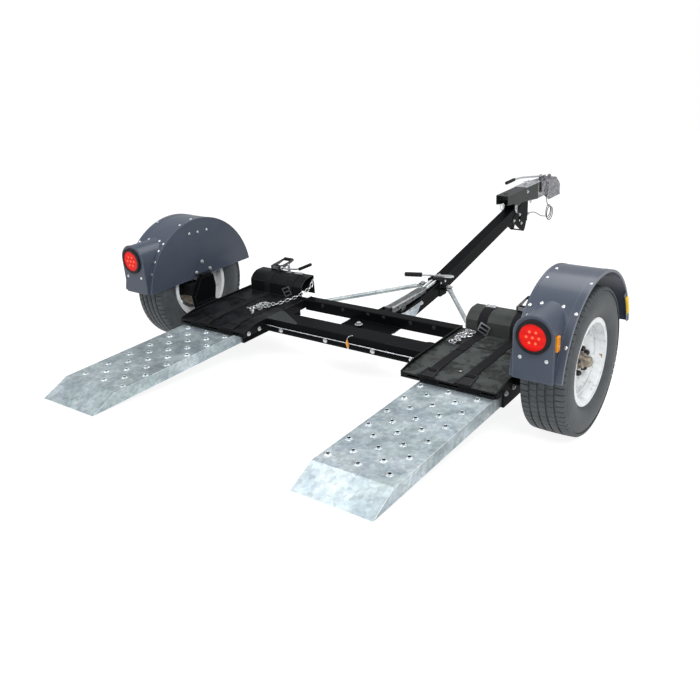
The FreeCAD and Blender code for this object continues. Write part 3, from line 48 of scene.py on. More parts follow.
# Bed frame: millimetres, x right, y forward of the wheel axis, z up from the level ground.
TYRE_RADIUS = 331.5
slide_axis = Vector(joints["ramp_right_slide"]["axis"])
axle = Vector(joints["wheel_right_spin"]["pos_m"])
TILT = atan2(slide_axis.z, slide_axis.y)
BED = (Matrix.Translation((0, axle.y, axle.z)) @ Matrix.Rotation(TILT, 4, "X")
       @ Matrix.Translation((0, 0, -TYRE_RADIUS / 1000)) @ Matrix.Scale(0.001, 4))


# Camera, fitted to the photograph

def add_camera():
    azimuth = 0.627982
    elevation = 0.310150
    roll = 0.009917
    place = Vector((2.297541, axle.y - 3.165235, 1.389196))
    ahead = Vector((-sin(azimuth) * cos(elevation),
                    cos(azimuth) * cos(elevation), -sin(elevation)))
    flat = Vector((cos(azimuth), sin(azimuth), 0))
    over = flat.cross(ahead)
    right = cos(roll) * flat + sin(roll) * over
    upward = right.cross(ahead)
    data = bpy.data.cameras.new("camera")
    data.sensor_width = 36
    data.lens = 777.9685 / 700 * 36
    camera = bpy.data.objects.new("camera", data)
    bpy.context.scene.collection.objects.link(camera)
    turn = Matrix((right, upward, -ahead)).transposed()
    camera.matrix_world = Matrix.Translation(place) @ turn.to_4x4()
    bpy.context.scene.camera = camera


add_camera()


# Materials

WHITE = (1.0, 1.0, 1.0)
FENDER_GREY = (0.052, 0.064, 0.090)
RAIL_BLACK = (0.005, 0.005, 0.006)

# Where the painted deck colour meets the rails, and where the pads' paint changes, in metres: across the bed, and
# forward of the wheel axis
DECK_EDGES = (0.5016, 0.9774)
DECK_REAR = -0.2935
PAD_FACE = 1.0735
# Radii between which the tyre has mould lines
SIDEWALL = (0.205, 0.316)


def fill(shader, values):
    for key, value in values.items():
        shader.inputs[key].default_value = value


def new_material(name, color, rough, metal=0.0, coat=0.0, coat_rough=0.1, specular=0.5):
    mat = bpy.data.materials.new(name)
    mat.use_nodes = True
    shader = mat.node_tree.nodes["Principled BSDF"]
    fill(shader, {"Base Color": (*color, 1), "Roughness": rough, "Metallic": metal,
                  "Coat Weight": coat, "Coat Roughness": coat_rough,
                  "Specular IOR Level": specular})
    return mat, shader


def node(mat, kind, **values):
    made = mat.node_tree.nodes.new(kind)
    for key, value in values.items():
        if key in made.inputs:
            made.inputs[key].default_value = value
        else:
            setattr(made, key, value)
    return made


def link(mat, a, b):
    mat.node_tree.links.new(a, b)


def coordinates(mat):
    return node(mat, "ShaderNodeTexCoord").outputs["Object"]


def feed(mat, socket, value):
    """Links an output to the socket, or writes a plain value into it."""
    if hasattr(value, "is_linked"):
        link(mat, value, socket)
    else:
        socket.default_value = value


def maths(mat, operation, a, b=0.0):
    made = node(mat, "ShaderNodeMath", operation=operation)
    feed(mat, made.inputs[0], a)
    feed(mat, made.inputs[1], b)
    return made.outputs["Value"]


def vector_maths(mat, operation, a, b, result="Vector"):
    made = node(mat, "ShaderNodeVectorMath", operation=operation)
    feed(mat, made.inputs[0], a)
    feed(mat, made.inputs[1], b)
    return made.outputs[result]


def between(mat, source, low, high):
    """One where the source lies between two numbers, nought elsewhere."""
    return maths(mat, "MULTIPLY", maths(mat, "GREATER_THAN", source, low),
                 maths(mat, "LESS_THAN", source, high))


def ramp_of(mat, source, stops):
    ramp = node(mat, "ShaderNodeValToRGB")
    link(mat, source, ramp.inputs["Fac"])
    elements = ramp.color_ramp.elements
    while len(elements) < len(stops):
        elements.new(0.5)
    for element, (place, color) in zip(elements, stops):
        element.position = place
        element.color = (*color, 1)
    return ramp.outputs["Color"]


def noise(mat, scale, detail, rough=0.5):
    made = node(mat, "ShaderNodeTexNoise", Scale=scale, Detail=detail, Roughness=rough)
    link(mat, coordinates(mat), made.inputs["Vector"])
    return made.outputs["Fac"]


def bump(mat, shader, height, strength, distance):
    made = node(mat, "ShaderNodeBump", Strength=strength, Distance=distance)
    link(mat, height, made.inputs["Height"])
    link(mat, made.outputs["Normal"], shader.inputs["Normal"])


def orange_peel(mat, shader):
    bump(mat, shader, noise(mat, 380.0, 2.0), 0.06, 0.0006)


def color_from(mat, shader, color):
    link(mat, color, shader.inputs["Base Color"])


def span(mat, source, low, high, first=0.0, last=1.0):
    """Maps first to last of the source onto low to high."""
    made = node(mat, "ShaderNodeMapRange", **{"From Min": first, "From Max": last,
                                              "To Min": low, "To Max": high})
    link(mat, source, made.inputs["Value"])
    return made.outputs["Result"]


def roughness_from(mat, shader, source, low, high):
    link(mat, span(mat, source, low, high), shader.inputs["Roughness"])


def two_tone(mat, source, low, high, first, second):
    return ramp_of(mat, source, [(low, first), (high, second)])


def edge_mask(mat, radius, share):
    """Share along the outer and inner edges of a solid, nought on its faces; it places the painted edge
    highlights.
    """
    bevel = node(mat, "ShaderNodeBevel", samples=4, Radius=radius)
    flat = node(mat, "ShaderNodeNewGeometry")
    same = vector_maths(mat, "DOT_PRODUCT", bevel.outputs["Normal"], flat.outputs["Normal"],
                        "Value")
    return span(mat, same, 0.0, share, 0.995, 0.86)


def paint(name, color, rough, coat, specular, dust, edge):
    """Sprayed paint: slight orange peel, roughness clouds, a little dust, and a painted highlight along the edges.
    """
    mat, shader = new_material(name, color, rough, coat=coat, coat_rough=0.15,
                               specular=specular)
    clouds = noise(mat, 7.0, 6.0, 0.62)
    lighter = tuple(c * 1.12 + 0.006 * dust for c in color)
    base = two_tone(mat, clouds, 0.35, 0.75, color, lighter)
    # Lighter colour along the edges is a painted highlight.
    edge_highlight = tuple(min(1.0, c * 1.7 + 0.05) for c in color)
    base = mix_color(mat, edge_mask(mat, 0.005, edge), base, edge_highlight)
    color_from(mat, shader, base)
    roughness_from(mat, shader, clouds, rough * 0.8, rough * 1.3)
    orange_peel(mat, shader)
    return mat


def bed_sideways(mat):
    """Distance to the right of the middle plane, in metres."""
    parts = node(mat, "ShaderNodeSeparateXYZ")
    link(mat, coordinates(mat), parts.inputs["Vector"])
    return parts.outputs["X"]


def bed_across(mat):
    """Distance from the middle plane to either side, in metres."""
    return maths(mat, "ABSOLUTE", bed_sideways(mat))


def bed_along(mat):
    """Distance forward of the wheel axis along the bed, in metres."""
    forward = Vector((0, cos(TILT), sin(TILT)))
    ahead = vector_maths(mat, "DOT_PRODUCT", coordinates(mat), forward, "Value")
    return maths(mat, "SUBTRACT", ahead, forward.dot(axle))


def mix_color(mat, share, first, second, blend_type="MIX"):
    made = node(mat, "ShaderNodeMix", data_type="RGBA", blend_type=blend_type)
    feed(mat, made.inputs[0], share)
    for place, value in ((6, first), (7, second)):
        feed(mat, made.inputs[place], (*value, 1) if isinstance(value, tuple) else value)
    return made.outputs[2]


def stop_paint(name, color, dark):
    """Olive on the right-hand wheel stop, nearly black on the left-hand one: one paint as a lit and a shaded copy,
    painted light and shade.
    """
    mat, shader = new_material(name, color, 0.38, coat=0.03, coat_rough=0.2, specular=0.08)
    clouds = noise(mat, 8.0, 6.0, 0.62)
    olive = two_tone(mat, clouds, 0.35, 0.7, color, tuple(c * 1.5 for c in color))
    # The right side gets the lit olive copy and the left side the shaded near-black copy.
    right = maths(mat, "GREATER_THAN", bed_sideways(mat), 0.0)
    base = mix_color(mat, right, dark, olive)
    # Lighter colour along the edges is a painted highlight.
    edge_highlight = tuple(c * 2.4 + 0.02 for c in color)
    base = mix_color(mat, edge_mask(mat, 0.005, 0.7), base, edge_highlight)
    color_from(mat, shader, base)
    orange_peel(mat, shader)
    return mat


def bracket_paint(name, pad, arm):
    """Fender grey on the bolt pads, frame black on the arms behind them."""
    mat, shader = new_material(name, pad, 0.36, coat=0.1, specular=0.2)
    outer = maths(mat, "GREATER_THAN", bed_across(mat), PAD_FACE)
    color_from(mat, shader, mix_color(mat, outer, arm, pad))
    orange_peel(mat, shader)
    return mat


def pan_paint(name, deck, rail):
    """Deck colour, painted as the reflection on gloss black paint, between black side rails and behind a black
    rear lip.
    """
    mat, shader = new_material(name, deck, 0.34, coat=0.02, coat_rough=0.2, specular=0.07)
    clouds = noise(mat, 7.0, 6.0, 0.62)
    lighter = tuple(c * 1.6 for c in deck)
    olive = two_tone(mat, clouds, 0.35, 0.7, deck, lighter)
    # Random darker patches on the deck.
    darker_patches = ramp_of(mat, noise(mat, 15.0, 9.0, 0.7), [(0.44, (0.35, 0.35, 0.35)), (0.54, WHITE)])
    olive = mix_color(mat, 1.0, olive, darker_patches, "MULTIPLY")
    inside = maths(mat, "MULTIPLY", between(mat, bed_across(mat), *DECK_EDGES),
                   maths(mat, "GREATER_THAN", bed_along(mat), DECK_REAR))
    base = mix_color(mat, inside, rail, olive)
    # Lighter colour along the edges is a painted highlight.
    base = mix_color(mat, edge_mask(mat, 0.004, 0.6), base, (0.06, 0.063, 0.06))
    color_from(mat, shader, base)
    roughness_from(mat, shader, noise(mat, 46.0, 7.0, 0.75), 0.26, 0.5)
    orange_peel(mat, shader)
    return mat


def galvanised(name, tone, scale, contrast, metallic):
    """Hot-dip zinc: small crystal spangles with runs, soft dull patches, large dark clouds painted as reflections,
    and painted highlights along the edges.
    """
    mat, shader = new_material(name, tone, 0.36, metal=metallic)
    shift = vector_maths(mat, "MULTIPLY", noise(mat, 30.0, 4.0), (0.03, 0.03, 0.03))
    cells = node(mat, "ShaderNodeTexVoronoi", Scale=scale, Randomness=1.0)
    link(mat, vector_maths(mat, "ADD", coordinates(mat), shift), cells.inputs["Vector"])
    gray = node(mat, "ShaderNodeRGBToBW")
    link(mat, cells.outputs["Color"], gray.inputs["Color"])
    dark = tuple((1 - contrast) * c for c in tone)
    light = tuple(min(1, (1 + contrast) * c) for c in tone)
    base = ramp_of(mat, gray.outputs["Val"], [(0.2, dark), (0.5, tone), (0.85, light)])
    clouds = noise(mat, 9.0, 8.0, 0.68)
    runs = noise(mat, 26.0, 6.0, 0.7)
    for source, dull_to, dull, clear_from in (
            (clouds, 0.36, (0.66, 0.68, 0.72), 0.6),
            # Large dark clouds: painted reflections of the surroundings.
            (noise(mat, 3.1, 3.0, 0.6), 0.42, (0.70, 0.74, 0.73), 0.6),
            (runs, 0.4, (0.86, 0.88, 0.92), 0.55)):
        dull_patch_and_reflection = ramp_of(mat, source, [(dull_to, dull), (clear_from, WHITE)])
        base = mix_color(mat, 1.0, base, dull_patch_and_reflection, "MULTIPLY")
    # Bright colour along the edges is a painted highlight.
    base = mix_color(mat, edge_mask(mat, 0.004, 0.85), base, (0.9, 0.93, 0.94))
    color_from(mat, shader, base)
    roughness_from(mat, shader, runs, 0.24, 0.5)
    bump(mat, shader, clouds, 0.10, 0.0015)
    return mat


def rubber(name, color, rough):
    mat, shader = new_material(name, color, rough, specular=0.12)
    clouds = noise(mat, 24.0, 5.0, 0.6)
    dusty = tuple(c * 1.6 + 0.003 for c in color)
    color_from(mat, shader, two_tone(mat, clouds, 0.4, 0.8, color, dusty))
    bump(mat, shader, noise(mat, 650.0, 2.0), 0.15, 0.0005)
    return mat


def tyre_rubber(name, color):
    """Rubber with fine concentric mould lines and dust in random clouds."""
    mat, shader = new_material(name, color, 0.6, specular=0.3)
    offset = vector_maths(mat, "SUBTRACT", coordinates(mat), axle)
    flat = vector_maths(mat, "MULTIPLY", offset, (0, 1, 1))
    radius = vector_maths(mat, "LENGTH", flat, (0, 0, 0), "Value")
    waves = maths(mat, "ADD", maths(mat, "MULTIPLY", radius, 900.0),
                  maths(mat, "MULTIPLY", noise(mat, 3.0, 1.0), 0.6))
    lines = maths(mat, "MULTIPLY", maths(mat, "SINE", waves), between(mat, radius, *SIDEWALL))
    clouds = noise(mat, 16.0, 6.0, 0.65)
    dusty = tuple(c * 1.5 + 0.004 for c in color)
    color_from(mat, shader, two_tone(mat, clouds, 0.42, 0.8, color, dusty))
    roughness_from(mat, shader, clouds, 0.42, 0.65)
    bump(mat, shader, lines, 0.25, 0.0006)
    return mat


def webbing(name, color):
    """Woven polyester: fine ribs across, with a twill along the length."""
    mat, shader = new_material(name, color, 0.75, specular=0.08)
    waves = []
    for scale, distortion, way in ((95.0, 0.6, "Y"), (60.0, 0.4, "X")):
        wave = node(mat, "ShaderNodeTexWave", Scale=scale, Distortion=distortion,
                    bands_direction=way)
        link(mat, coordinates(mat), wave.inputs["Vector"])
        waves.append(wave.outputs["Fac"])
    weave = maths(mat, "ADD", *waves)
    lighter = tuple(c * 2.2 + 0.003 for c in color)
    color_from(mat, shader, two_tone(mat, weave, 0.4, 0.95, color, lighter))
    bump(mat, shader, weave, 0.5, 0.0009)
    return mat


def metal(name, tone, rough, metallic=0.9, dark=0.62):
    mat, shader = new_material(name, tone, rough, metal=metallic)
    clouds = noise(mat, 60.0, 5.0, 0.65)
    low = tuple(dark * c for c in tone)
    color_from(mat, shader, two_tone(mat, clouds, 0.3, 0.62, low, tone))
    roughness_from(mat, shader, clouds, rough * 1.4, rough * 0.7)
    bump(mat, shader, noise(mat, 300.0, 3.0), 0.08, 0.0006)
    return mat


def lens(name, color, glow, scale=260.0):
    """Moulded lens with fine flutes."""
    mat, shader = new_material(name, color, 0.22, coat=0.08, coat_rough=0.04, specular=0.15)
    fill(shader, {"Emission Color": (*color, 1), "Emission Strength": glow,
                  "Subsurface Weight": 0.1, "Subsurface Radius": (0.01, 0.003, 0.002)})
    cells = node(mat, "ShaderNodeTexVoronoi", Scale=scale, Randomness=0.15)
    link(mat, coordinates(mat), cells.inputs["Vector"])
    deep = tuple(0.55 * c for c in color)
    color_from(mat, shader, two_tone(mat, cells.outputs["Distance"], 0.1, 0.6, color, deep))
    bump(mat, shader, cells.outputs["Distance"], 0.3, 0.0007)
    return mat


def white_enamel(name):
    """Baked white with random grey clouds of painted shade and grime, and rust-coloured specks."""
    mat, shader = new_material(name, (0.8, 0.8, 0.8), 0.26, coat=0.2, specular=0.4)
    clouds = noise(mat, 20.0, 7.0, 0.72)
    base = ramp_of(mat, clouds, [(0.30, (0.30, 0.31, 0.31)), (0.44, (0.74, 0.76, 0.77)),
                                 (0.6, (0.83, 0.85, 0.86))])
    specks = ramp_of(mat, noise(mat, 55.0, 3.0, 0.5), [(0.68, WHITE), (0.74, (0.45, 0.26, 0.12))])
    color_from(mat, shader, mix_color(mat, 1.0, base, specks, "MULTIPLY"))
    return mat


MATS = {
    "frame_paint": paint("frame_black", (0.0038, 0.0041, 0.0046), 0.32, 0.0, 0.025, 0.1, 0.5),
    "deck_paint": stop_paint("stops_olive_lit_black_shaded", (0.036, 0.040, 0.037), (0.007, 0.008, 0.009)),
    # The right pan's olive-grey deck is a painted reflection on gloss black paint; the left pan's darker deck is
    # its shaded copy.
    "pan_paint": pan_paint("pan_deck_painted_reflection", (0.040, 0.045, 0.043), RAIL_BLACK),
    "pan_dark": pan_paint("pan_deck_shaded_copy", (0.0085, 0.0095, 0.011), RAIL_BLACK),
    "case_paint": paint("case_olive", (0.014, 0.018, 0.0175), 0.32, 0.05, 0.15, 0.3, 0.8),
    "fender_paint": paint("fender_grey", FENDER_GREY, 0.30, 0.12, 0.25, 0.5, 0.8),
    "bracket_paint": bracket_paint("bracket_grey_black", FENDER_GREY, RAIL_BLACK),
    "cast_paint": paint("cast_black", (0.008, 0.008, 0.009), 0.38, 0.05, 0.12, 0.3, 0.5),
    "white_steel": white_enamel("rim_white"),
    "galvanised": galvanised("galvanised_zinc", (0.57, 0.64, 0.66), 62.0, 0.16, 0.6),
    "brace_zinc": galvanised("brace_zinc", (0.56, 0.59, 0.59), 90.0, 0.16, 0.5),
    "zinc": metal("zinc_plate", (0.70, 0.72, 0.74), 0.28),
    "dark_zinc": metal("dark_zinc", (0.10, 0.105, 0.105), 0.4, 0.7, 0.5),
    "latch_steel": metal("latch_steel", (0.17, 0.18, 0.18), 0.45, 0.5, 0.3),
    "head_zinc": metal("head_zinc", (0.34, 0.34, 0.37), 0.3, 0.85, 0.04),
    "hub_cast": metal("hub_bronze", (0.42, 0.36, 0.29), 0.42, 0.6, 0.35),
    "lug_dark": metal("lug_dark", (0.03, 0.03, 0.032), 0.4, 0.6, 0.5),
    # Near-black rubber for the discs that paint shade inside the grips' holes.
    "painted_hole_shade": rubber("painted_hole_shade", (0.012, 0.014, 0.016), 0.8),
    "tyre": tyre_rubber("tyre_rubber", (0.058, 0.065, 0.070)),
    "black_rubber": rubber("moulded_rubber", (0.012, 0.012, 0.013), 0.45),
    "cable_sheath": rubber("cable_sheath", (0.005, 0.005, 0.005), 0.4),
    "red_lens": lens("red_lens", (0.78, 0.004, 0.002), 0.30),
    "led_red": lens("led_red", (1.0, 0.14, 0.05), 0.75, 400.0),
    "amber_lens": lens("amber_lens", (0.92, 0.33, 0.015), 0.14),
    "yellow_lens": lens("yellow_lens", (0.95, 0.62, 0.04), 0.16),
    "orange_tag": rubber("orange_tag", (0.62, 0.27, 0.06), 0.5),
    "thread": rubber("grey_thread", (0.035, 0.035, 0.037), 0.8),
    "webbing": webbing("black_webbing", (0.006, 0.006, 0.007)),
}
DRESS = {
    "wheel_pan_right": "pan_paint",
    "wheel_pan_left": "pan_dark",
    "wheel_stops": "deck_paint",
    "fender_brackets": "bracket_paint",
    "coupler_case": "case_paint",
    "coupler_head": "head_zinc",
    "tongue_braces": "brace_zinc",
    "latch_channel": "latch_steel",
    "ratchets": "dark_zinc",
    "ratchet_handle_right": "dark_zinc",
    "ratchet_handle_left": "dark_zinc",
}


def dress_nodes():
    slots = {s["node"]: s["material_slot"] for s in frame["record"]["subparts"]}
    for name, obj in nodes.items():
        obj.data.materials.clear()
        obj.data.materials.append(MATS[DRESS.get(name, slots[name])])


dress_nodes()


# Pieces, made of solids in bed millimetres

LINK_LENGTH = 31
LINK_WIDTH = 20
LINK_WIRE = 2.6
LINK_PITCH = 23


def side_axes(axis):
    """Two unit vectors square to axis."""
    axis = Vector(axis).normalized()
    other = Vector((0, 0, 1)) if abs(axis.z) < 0.9 else Vector((1, 0, 0))
    u = axis.cross(other).normalized()
    return u, axis.cross(u)


def circle(middle, u, v, radius, count):
    """Points round middle in the plane of u and v."""
    points = []
    for i in range(count):
        angle = 2 * pi * i / count
        points.append(middle + (u * cos(angle) + v * sin(angle)) * radius)
    return points


class Shape:
    """Gathers closed solids and turns them into one piece."""

    def __init__(self):
        self.bm = bmesh.new()

    def loft(self, rings, closed=False):
        made = [[self.bm.verts.new(p) for p in ring] for ring in rings]
        count = len(made[0])
        pairs = list(zip(made, made[1:]))
        if closed:
            pairs.append((made[-1], made[0]))
        for a, b in pairs:
            for i in range(count):
                j = (i + 1) % count
                self.bm.faces.new((a[i], a[j], b[j], b[i]))
        if not closed:
            self.bm.faces.new(list(reversed(made[0])))
            self.bm.faces.new(made[-1])

    def box(self, x0, x1, y0, y1, z0, z1):
        self.slab([(x0, y0, z0), (x1, y0, z0), (x1, y1, z0), (x0, y1, z0)], (0, 0, z1 - z0))

    def slab(self, outline, offset):
        """Outline of points pushed along offset."""
        low = [Vector(p) for p in outline]
        self.loft([low, [p + Vector(offset) for p in low]])

    def turned(self, start, axis, profile, sides=24):
        """Profile of (distance along the axis, radius) pairs turned about it."""
        start = Vector(start)
        axis = Vector(axis).normalized()
        u, v = side_axes(axis)
        self.loft([circle(start + axis * along, u, v, radius, sides) for along, radius in profile])

    def bolt(self, place, axis, radius, height):
        """Hex head with a chamfer on a thin washer."""
        wide = radius * 1.35
        top = height + 1.2
        self.turned(place, axis, [(-0.5, wide), (1.4, wide), (1.8, radius * 1.25)])
        self.turned(place, axis, [(1.5, radius), (height, radius), (top, radius * 0.78)], 6)

    def dome(self, place, axis, radius, height):
        """Round carriage-bolt head."""
        profile = [(-0.5, radius)]
        for step in range(5):
            angle = radians(18 * step)
            profile.append((height * sin(angle), radius * cos(angle)))
        self.turned(place, axis, profile + [(height, 0.08 * radius)], 20)

    def tube(self, points, radius, sides, closed=False):
        """Round wire along a list of points."""
        points = [Vector(p) for p in points]
        count = len(points)
        u = None
        rings = []
        for i, point in enumerate(points):
            before = points[i - 1] if closed or i else point
            after = points[(i + 1) % count] if closed or i + 1 < count else point
            along = (after - before).normalized()
            if u is None:
                u = side_axes(along)[0]
            u = (u - along * u.dot(along)).normalized()
            rings.append(circle(point, u, along.cross(u), radius, sides))
        self.loft(rings, closed)

    def link(self, middle, along, across):
        """Chain link lying in the plane of along and across."""
        points = []
        straight = (LINK_LENGTH - LINK_WIDTH) / 2
        r = LINK_WIDTH / 2 - LINK_WIRE
        for i in range(12):
            angle = radians(-75 + 30 * i)
            shift = straight if i < 6 else -straight
            points.append(middle + along * (shift + r * cos(angle))
                          + across * r * sin(angle))
        self.tube(points, LINK_WIRE, 7, closed=True)

    def chain(self, path):
        """Links along a path of points, each turned a quarter from the last."""
        path = [Vector(p) for p in path]
        lengths = [(b - a).length for a, b in zip(path, path[1:])]
        count = int(sum(lengths) / LINK_PITCH)
        for index in range(count):
            reach = LINK_PITCH * (index + 0.5)
            run = 0
            while reach > lengths[run]:
                reach -= lengths[run]
                run += 1
            along = (path[run + 1] - path[run]).normalized()
            u, v = side_axes(along)
            turn = radians(25 + 90 * (index % 2) + random.uniform(-14, 14))
            self.link(path[run] + along * reach, along, u * cos(turn) + v * sin(turn))

    def mirrored(self):
        """Adds the same solids on the other side of the middle plane."""
        geom = self.bm.verts[:] + self.bm.edges[:] + self.bm.faces[:]
        new = bmesh.ops.duplicate(self.bm, geom=geom)["geom"]
        for v in (g for g in new if isinstance(g, bmesh.types.BMVert)):
            v.co.x = -v.co.x
        faces = [g for g in new if isinstance(g, bmesh.types.BMFace)]
        bmesh.ops.reverse_faces(self.bm, faces=faces)
        return self

    def flipped(self):
        for v in self.bm.verts:
            v.co.x = -v.co.x
        bmesh.ops.reverse_faces(self.bm, faces=self.bm.faces[:])
        return self

    def piece(self, name, body, material, slot, smooth=35):
        bmesh.ops.recalc_face_normals(self.bm, faces=self.bm.faces[:])
        self.bm.transform(BED)
        mesh = bpy.data.meshes.new(name)
        self.bm.to_mesh(mesh)
        self.bm.free()
        for face in mesh.polygons:
            face.use_smooth = True
        mesh.set_sharp_from_angle(angle=radians(smooth))
        mesh.materials.append(MATS[material])
        obj = bpy.data.objects.new(name, mesh)
        bpy.context.scene.collection.objects.link(obj)
        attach(obj, body)
        return obj


# Breakaway cable

def cable_points():
    """The route of the cable in bed millimetres, the same as the solid's."""
    start = Vector((0, 2194, 369.78))
    lead = [(0, 0, 0), (0, 54, -2), (0, 109, -13), (0, 160, -33), (1, 208, -58), (2, 258, -77)]
    points = [start + Vector(p) for p in lead]
    for index in range(22):
        angle = radians(-135 + 45 * index)
        share = min(1.0, index / 16)
        points.append(Vector((4 + 2 * index, 2547 - 45 * share + 52 * cos(angle),
                              317.98 - 12 * share + 52 * sin(angle))))
    rise = [(48, 2460, 370.98), (49.05, 2427, 393.98), (49.05, 2406, 427.98), (49.05, 2400, 469.98)]
    return points + [Vector(p) for p in rise]


def add_cable():
    points = [BED @ p for p in cable_points()]
    curve = bpy.data.curves.new("breakaway_cable_line", "CURVE")
    curve.dimensions = "3D"
    curve.bevel_depth = 0.00275
    curve.bevel_resolution = 4
    curve.use_fill_caps = True
    spline = curve.splines.new("NURBS")
    spline.points.add(len(points) - 1)
    for made, point in zip(spline.points, points):
        made.co = (*point, 1)
    spline.order_u = 3
    spline.use_endpoint_u = True
    spline.resolution_u = 6
    curve.materials.append(MATS["cable_sheath"])
    cable = bpy.data.objects.new("breakaway_cable_line", curve)
    bpy.context.scene.collection.objects.link(cable)
    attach(cable, "tongue")
    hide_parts("breakaway_cable")


add_cable()


# Tyres

WHEEL_X = 1193.0
RIM_SEAT = WHEEL_X + 34
STUD_RADIUS = 57.15
CARCASS = [(70, 181), (76.5, 183), (76.5, 197), (82, 199.5), (88, 206), (91.5, 212), (93, 214.5),
           (95.5, 221), (99, 232), (101.6, 246), (102.4, 262), (101.2, 278), (98.6, 291),
           (97.8, 293), (97.9, 296), (96.2, 298), (94, 307), (91, 316), (86, 322.5), (78, 324.4),
           (60, 325.1), (40, 325.4), (20, 325.5)]
RIBS = [(-92.5, -57.5), (-50.5, -21), (-14, 14), (21, 50.5), (57.5, 92.5)]
BLOCKS = 72


def crown(x):
    """Tread radius, a little lower towards the shoulders."""
    return TYRE_RADIUS - 3.0 * (abs(x) / 92.5) ** 2.4


def wheel_point(x, radius, angle):
    """Point at a radius from the wheel's axis, angle from the top forward."""
    return Vector((WHEEL_X + x, radius * sin(angle), TYRE_RADIUS + radius * cos(angle)))


def tread_block(shape, x0, x1, first, last):
    rings = []
    shoulder = max(abs(x0), abs(x1)) > 80
    for step in range(4):
        angle = first + (last - first) * step / 3
        corners = [(x0, 320), (x0, crown(x0) - 1.2), (x0 + 1.6, crown(x0)), (x1 - 1.6, crown(x1)),
                   (x1, crown(x1) - 1.2), (x1, 320)]
        if shoulder and x1 > 0:
            corners = corners[:3] + [(x1 - 4, crown(x1)), (x1 + 1.5, 324), (x1 + 4, 313),
                                     (x1 - 6, 312)]
        elif shoulder:
            corners = [(x0 + 6, 312), (x0 - 4, 313), (x0 - 1.5, 324),
                       (x0 + 4, crown(x0))] + corners[3:]
        rings.append([wheel_point(x, -r, angle) for x, r in corners])
    shape.loft(rings)


def tyre_piece(side):
    shape = Shape()
    profile = CARCASS + [(-x, r) for x, r in reversed(CARCASS)]
    steps = 96
    rings = []
    for step in range(steps):
        angle = 2 * pi * step / steps
        rings.append([wheel_point(x, r, angle) for x, r in profile])
    shape.loft(rings, closed=True)
    pitch = 2 * pi / BLOCKS
    for row, (x0, x1) in enumerate(RIBS):
        gap = 0.13 if row in (0, 4) else 0.07
        for index in range(BLOCKS):
            first = pitch * (index + 0.37 * row)
            tread_block(shape, x0, x1, first, first + pitch * (1 - gap))
    if side == "left":
        shape.flipped()
    made = shape.piece("tyre_tread_" + side, "wheel_" + side, "tyre", "tyre", 40)
    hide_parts("tyre_" + side)


for side in ("right", "left"):
    tyre_piece(side)


# Wheels, lights and fenders

def for_both(make, name, material, slot, body, smooth=35):
    """Runs make for the right side and its mirror image for the left."""
    for side in ("right", "left"):
        shape = Shape()
        make(shape)
        if side == "left":
            shape.flipped()
        where = body if body == "bed" else body + "_" + side
        shape.piece(name + "_" + side, where, material, slot, smooth)


def lug_nuts(shape):
    for index in range(5):
        angle = pi / 2 + 2 * pi * index / 5
        place = (RIM_SEAT + 0.5, STUD_RADIUS * cos(angle),
                 TYRE_RADIUS + STUD_RADIUS * sin(angle))
        shape.turned(place, (1, 0, 0), [(0, 14.5), (2.5, 14.5), (3, 13)], 24)
        shape.turned(place, (1, 0, 0), [(2, 12.2), (15, 12.2), (16.5, 10.5)], 6)
        shape.turned(place, (1, 0, 0), [(15, 9.6), (19, 8.2), (21, 4.5), (21.6, 1)], 16)


def hub_trim(shape):
    """Pressed rings round the dust cap."""
    shape.turned((RIM_SEAT - 1, 0, TYRE_RADIUS), (1, 0, 0),
                 [(0, 40), (3, 40), (4.5, 38), (4.5, 34), (20, 33.8), (21, 31), (24, 25.5),
                  (24, 24.5)], 40)
    shape.turned((RIM_SEAT + 51, 0, TYRE_RADIUS), (1, 0, 0),
                 [(0, 18), (2.2, 17), (2.6, 12), (1.8, 10.5), (1.8, 0.5)], 32)


def valve_stem(shape):
    angle = radians(118)
    y = 166 * cos(angle)
    z = TYRE_RADIUS + 166 * sin(angle)
    shape.turned((WHEEL_X + 26, y, z), (1, 0, 0),
                 [(0, 7.5), (4, 7.5), (7, 5), (24, 4.2), (25, 5), (36, 5), (37, 4)], 16)


def rim_beads(shape):
    """Rolled edges of the rim and a pressed ring round its disc."""
    for radius, x, wire in ((194, 80.5, 3.0), (150, 49, 2.4), (104, 55.5, 2.6)):
        middle = Vector((WHEEL_X + x, 0, TYRE_RADIUS))
        ring = circle(middle, Vector((0, 1, 0)), Vector((0, 0, 1)), radius, 72)
        shape.tube(ring, wire, 8, closed=True)


for_both(lug_nuts, "lug_nuts", "lug_dark", "zinc", "wheel")
for_both(rim_beads, "rim_beads", "white_steel", "white_steel", "wheel")
for_both(hub_trim, "hub_trim", "hub_cast", "hub_cast", "wheel")
for_both(valve_stem, "valve_stem", "black_rubber", "black_rubber", "wheel")

LIGHT = (1185.0, 580.0)


def light_dots(shape):
    places = [(0, 0)]
    for index in range(6):
        angle = radians(60 * index)
        places.append((26 * cos(angle), 26 * sin(angle)))
    for x, z in places:
        shape.dome((LIGHT[0] + x, -417.1, LIGHT[1] + z), (0, -1, 0), 6.2, 2.6)


def light_rim(shape):
    """Raised edge of the lens inside the rubber ring, and a finer ring within it."""
    middle = Vector((LIGHT[0], -416, LIGHT[1]))
    for radius, wire, sides in ((51, 2.4, 8), (39.78, 1.0, 6)):
        ring = circle(middle, Vector((1, 0, 0)), Vector((0, 0, 1)), radius, 48)
        shape.tube(ring, wire, sides, closed=True)


def light_lens(shape):
    """Domed lens over the lamp, a little wider than its opening."""
    profile = [(0, 60), (1.2, 60)]
    for step in range(1, 6):
        angle = radians(15 * step)
        profile.append((1.2 + 1.4 * sin(angle), 58.5 * cos(angle) ** 0.5))
    profile.append((2.6, 0.5))
    shape.turned((LIGHT[0], -415.6, LIGHT[1]), (0, -1, 0), profile, 64)


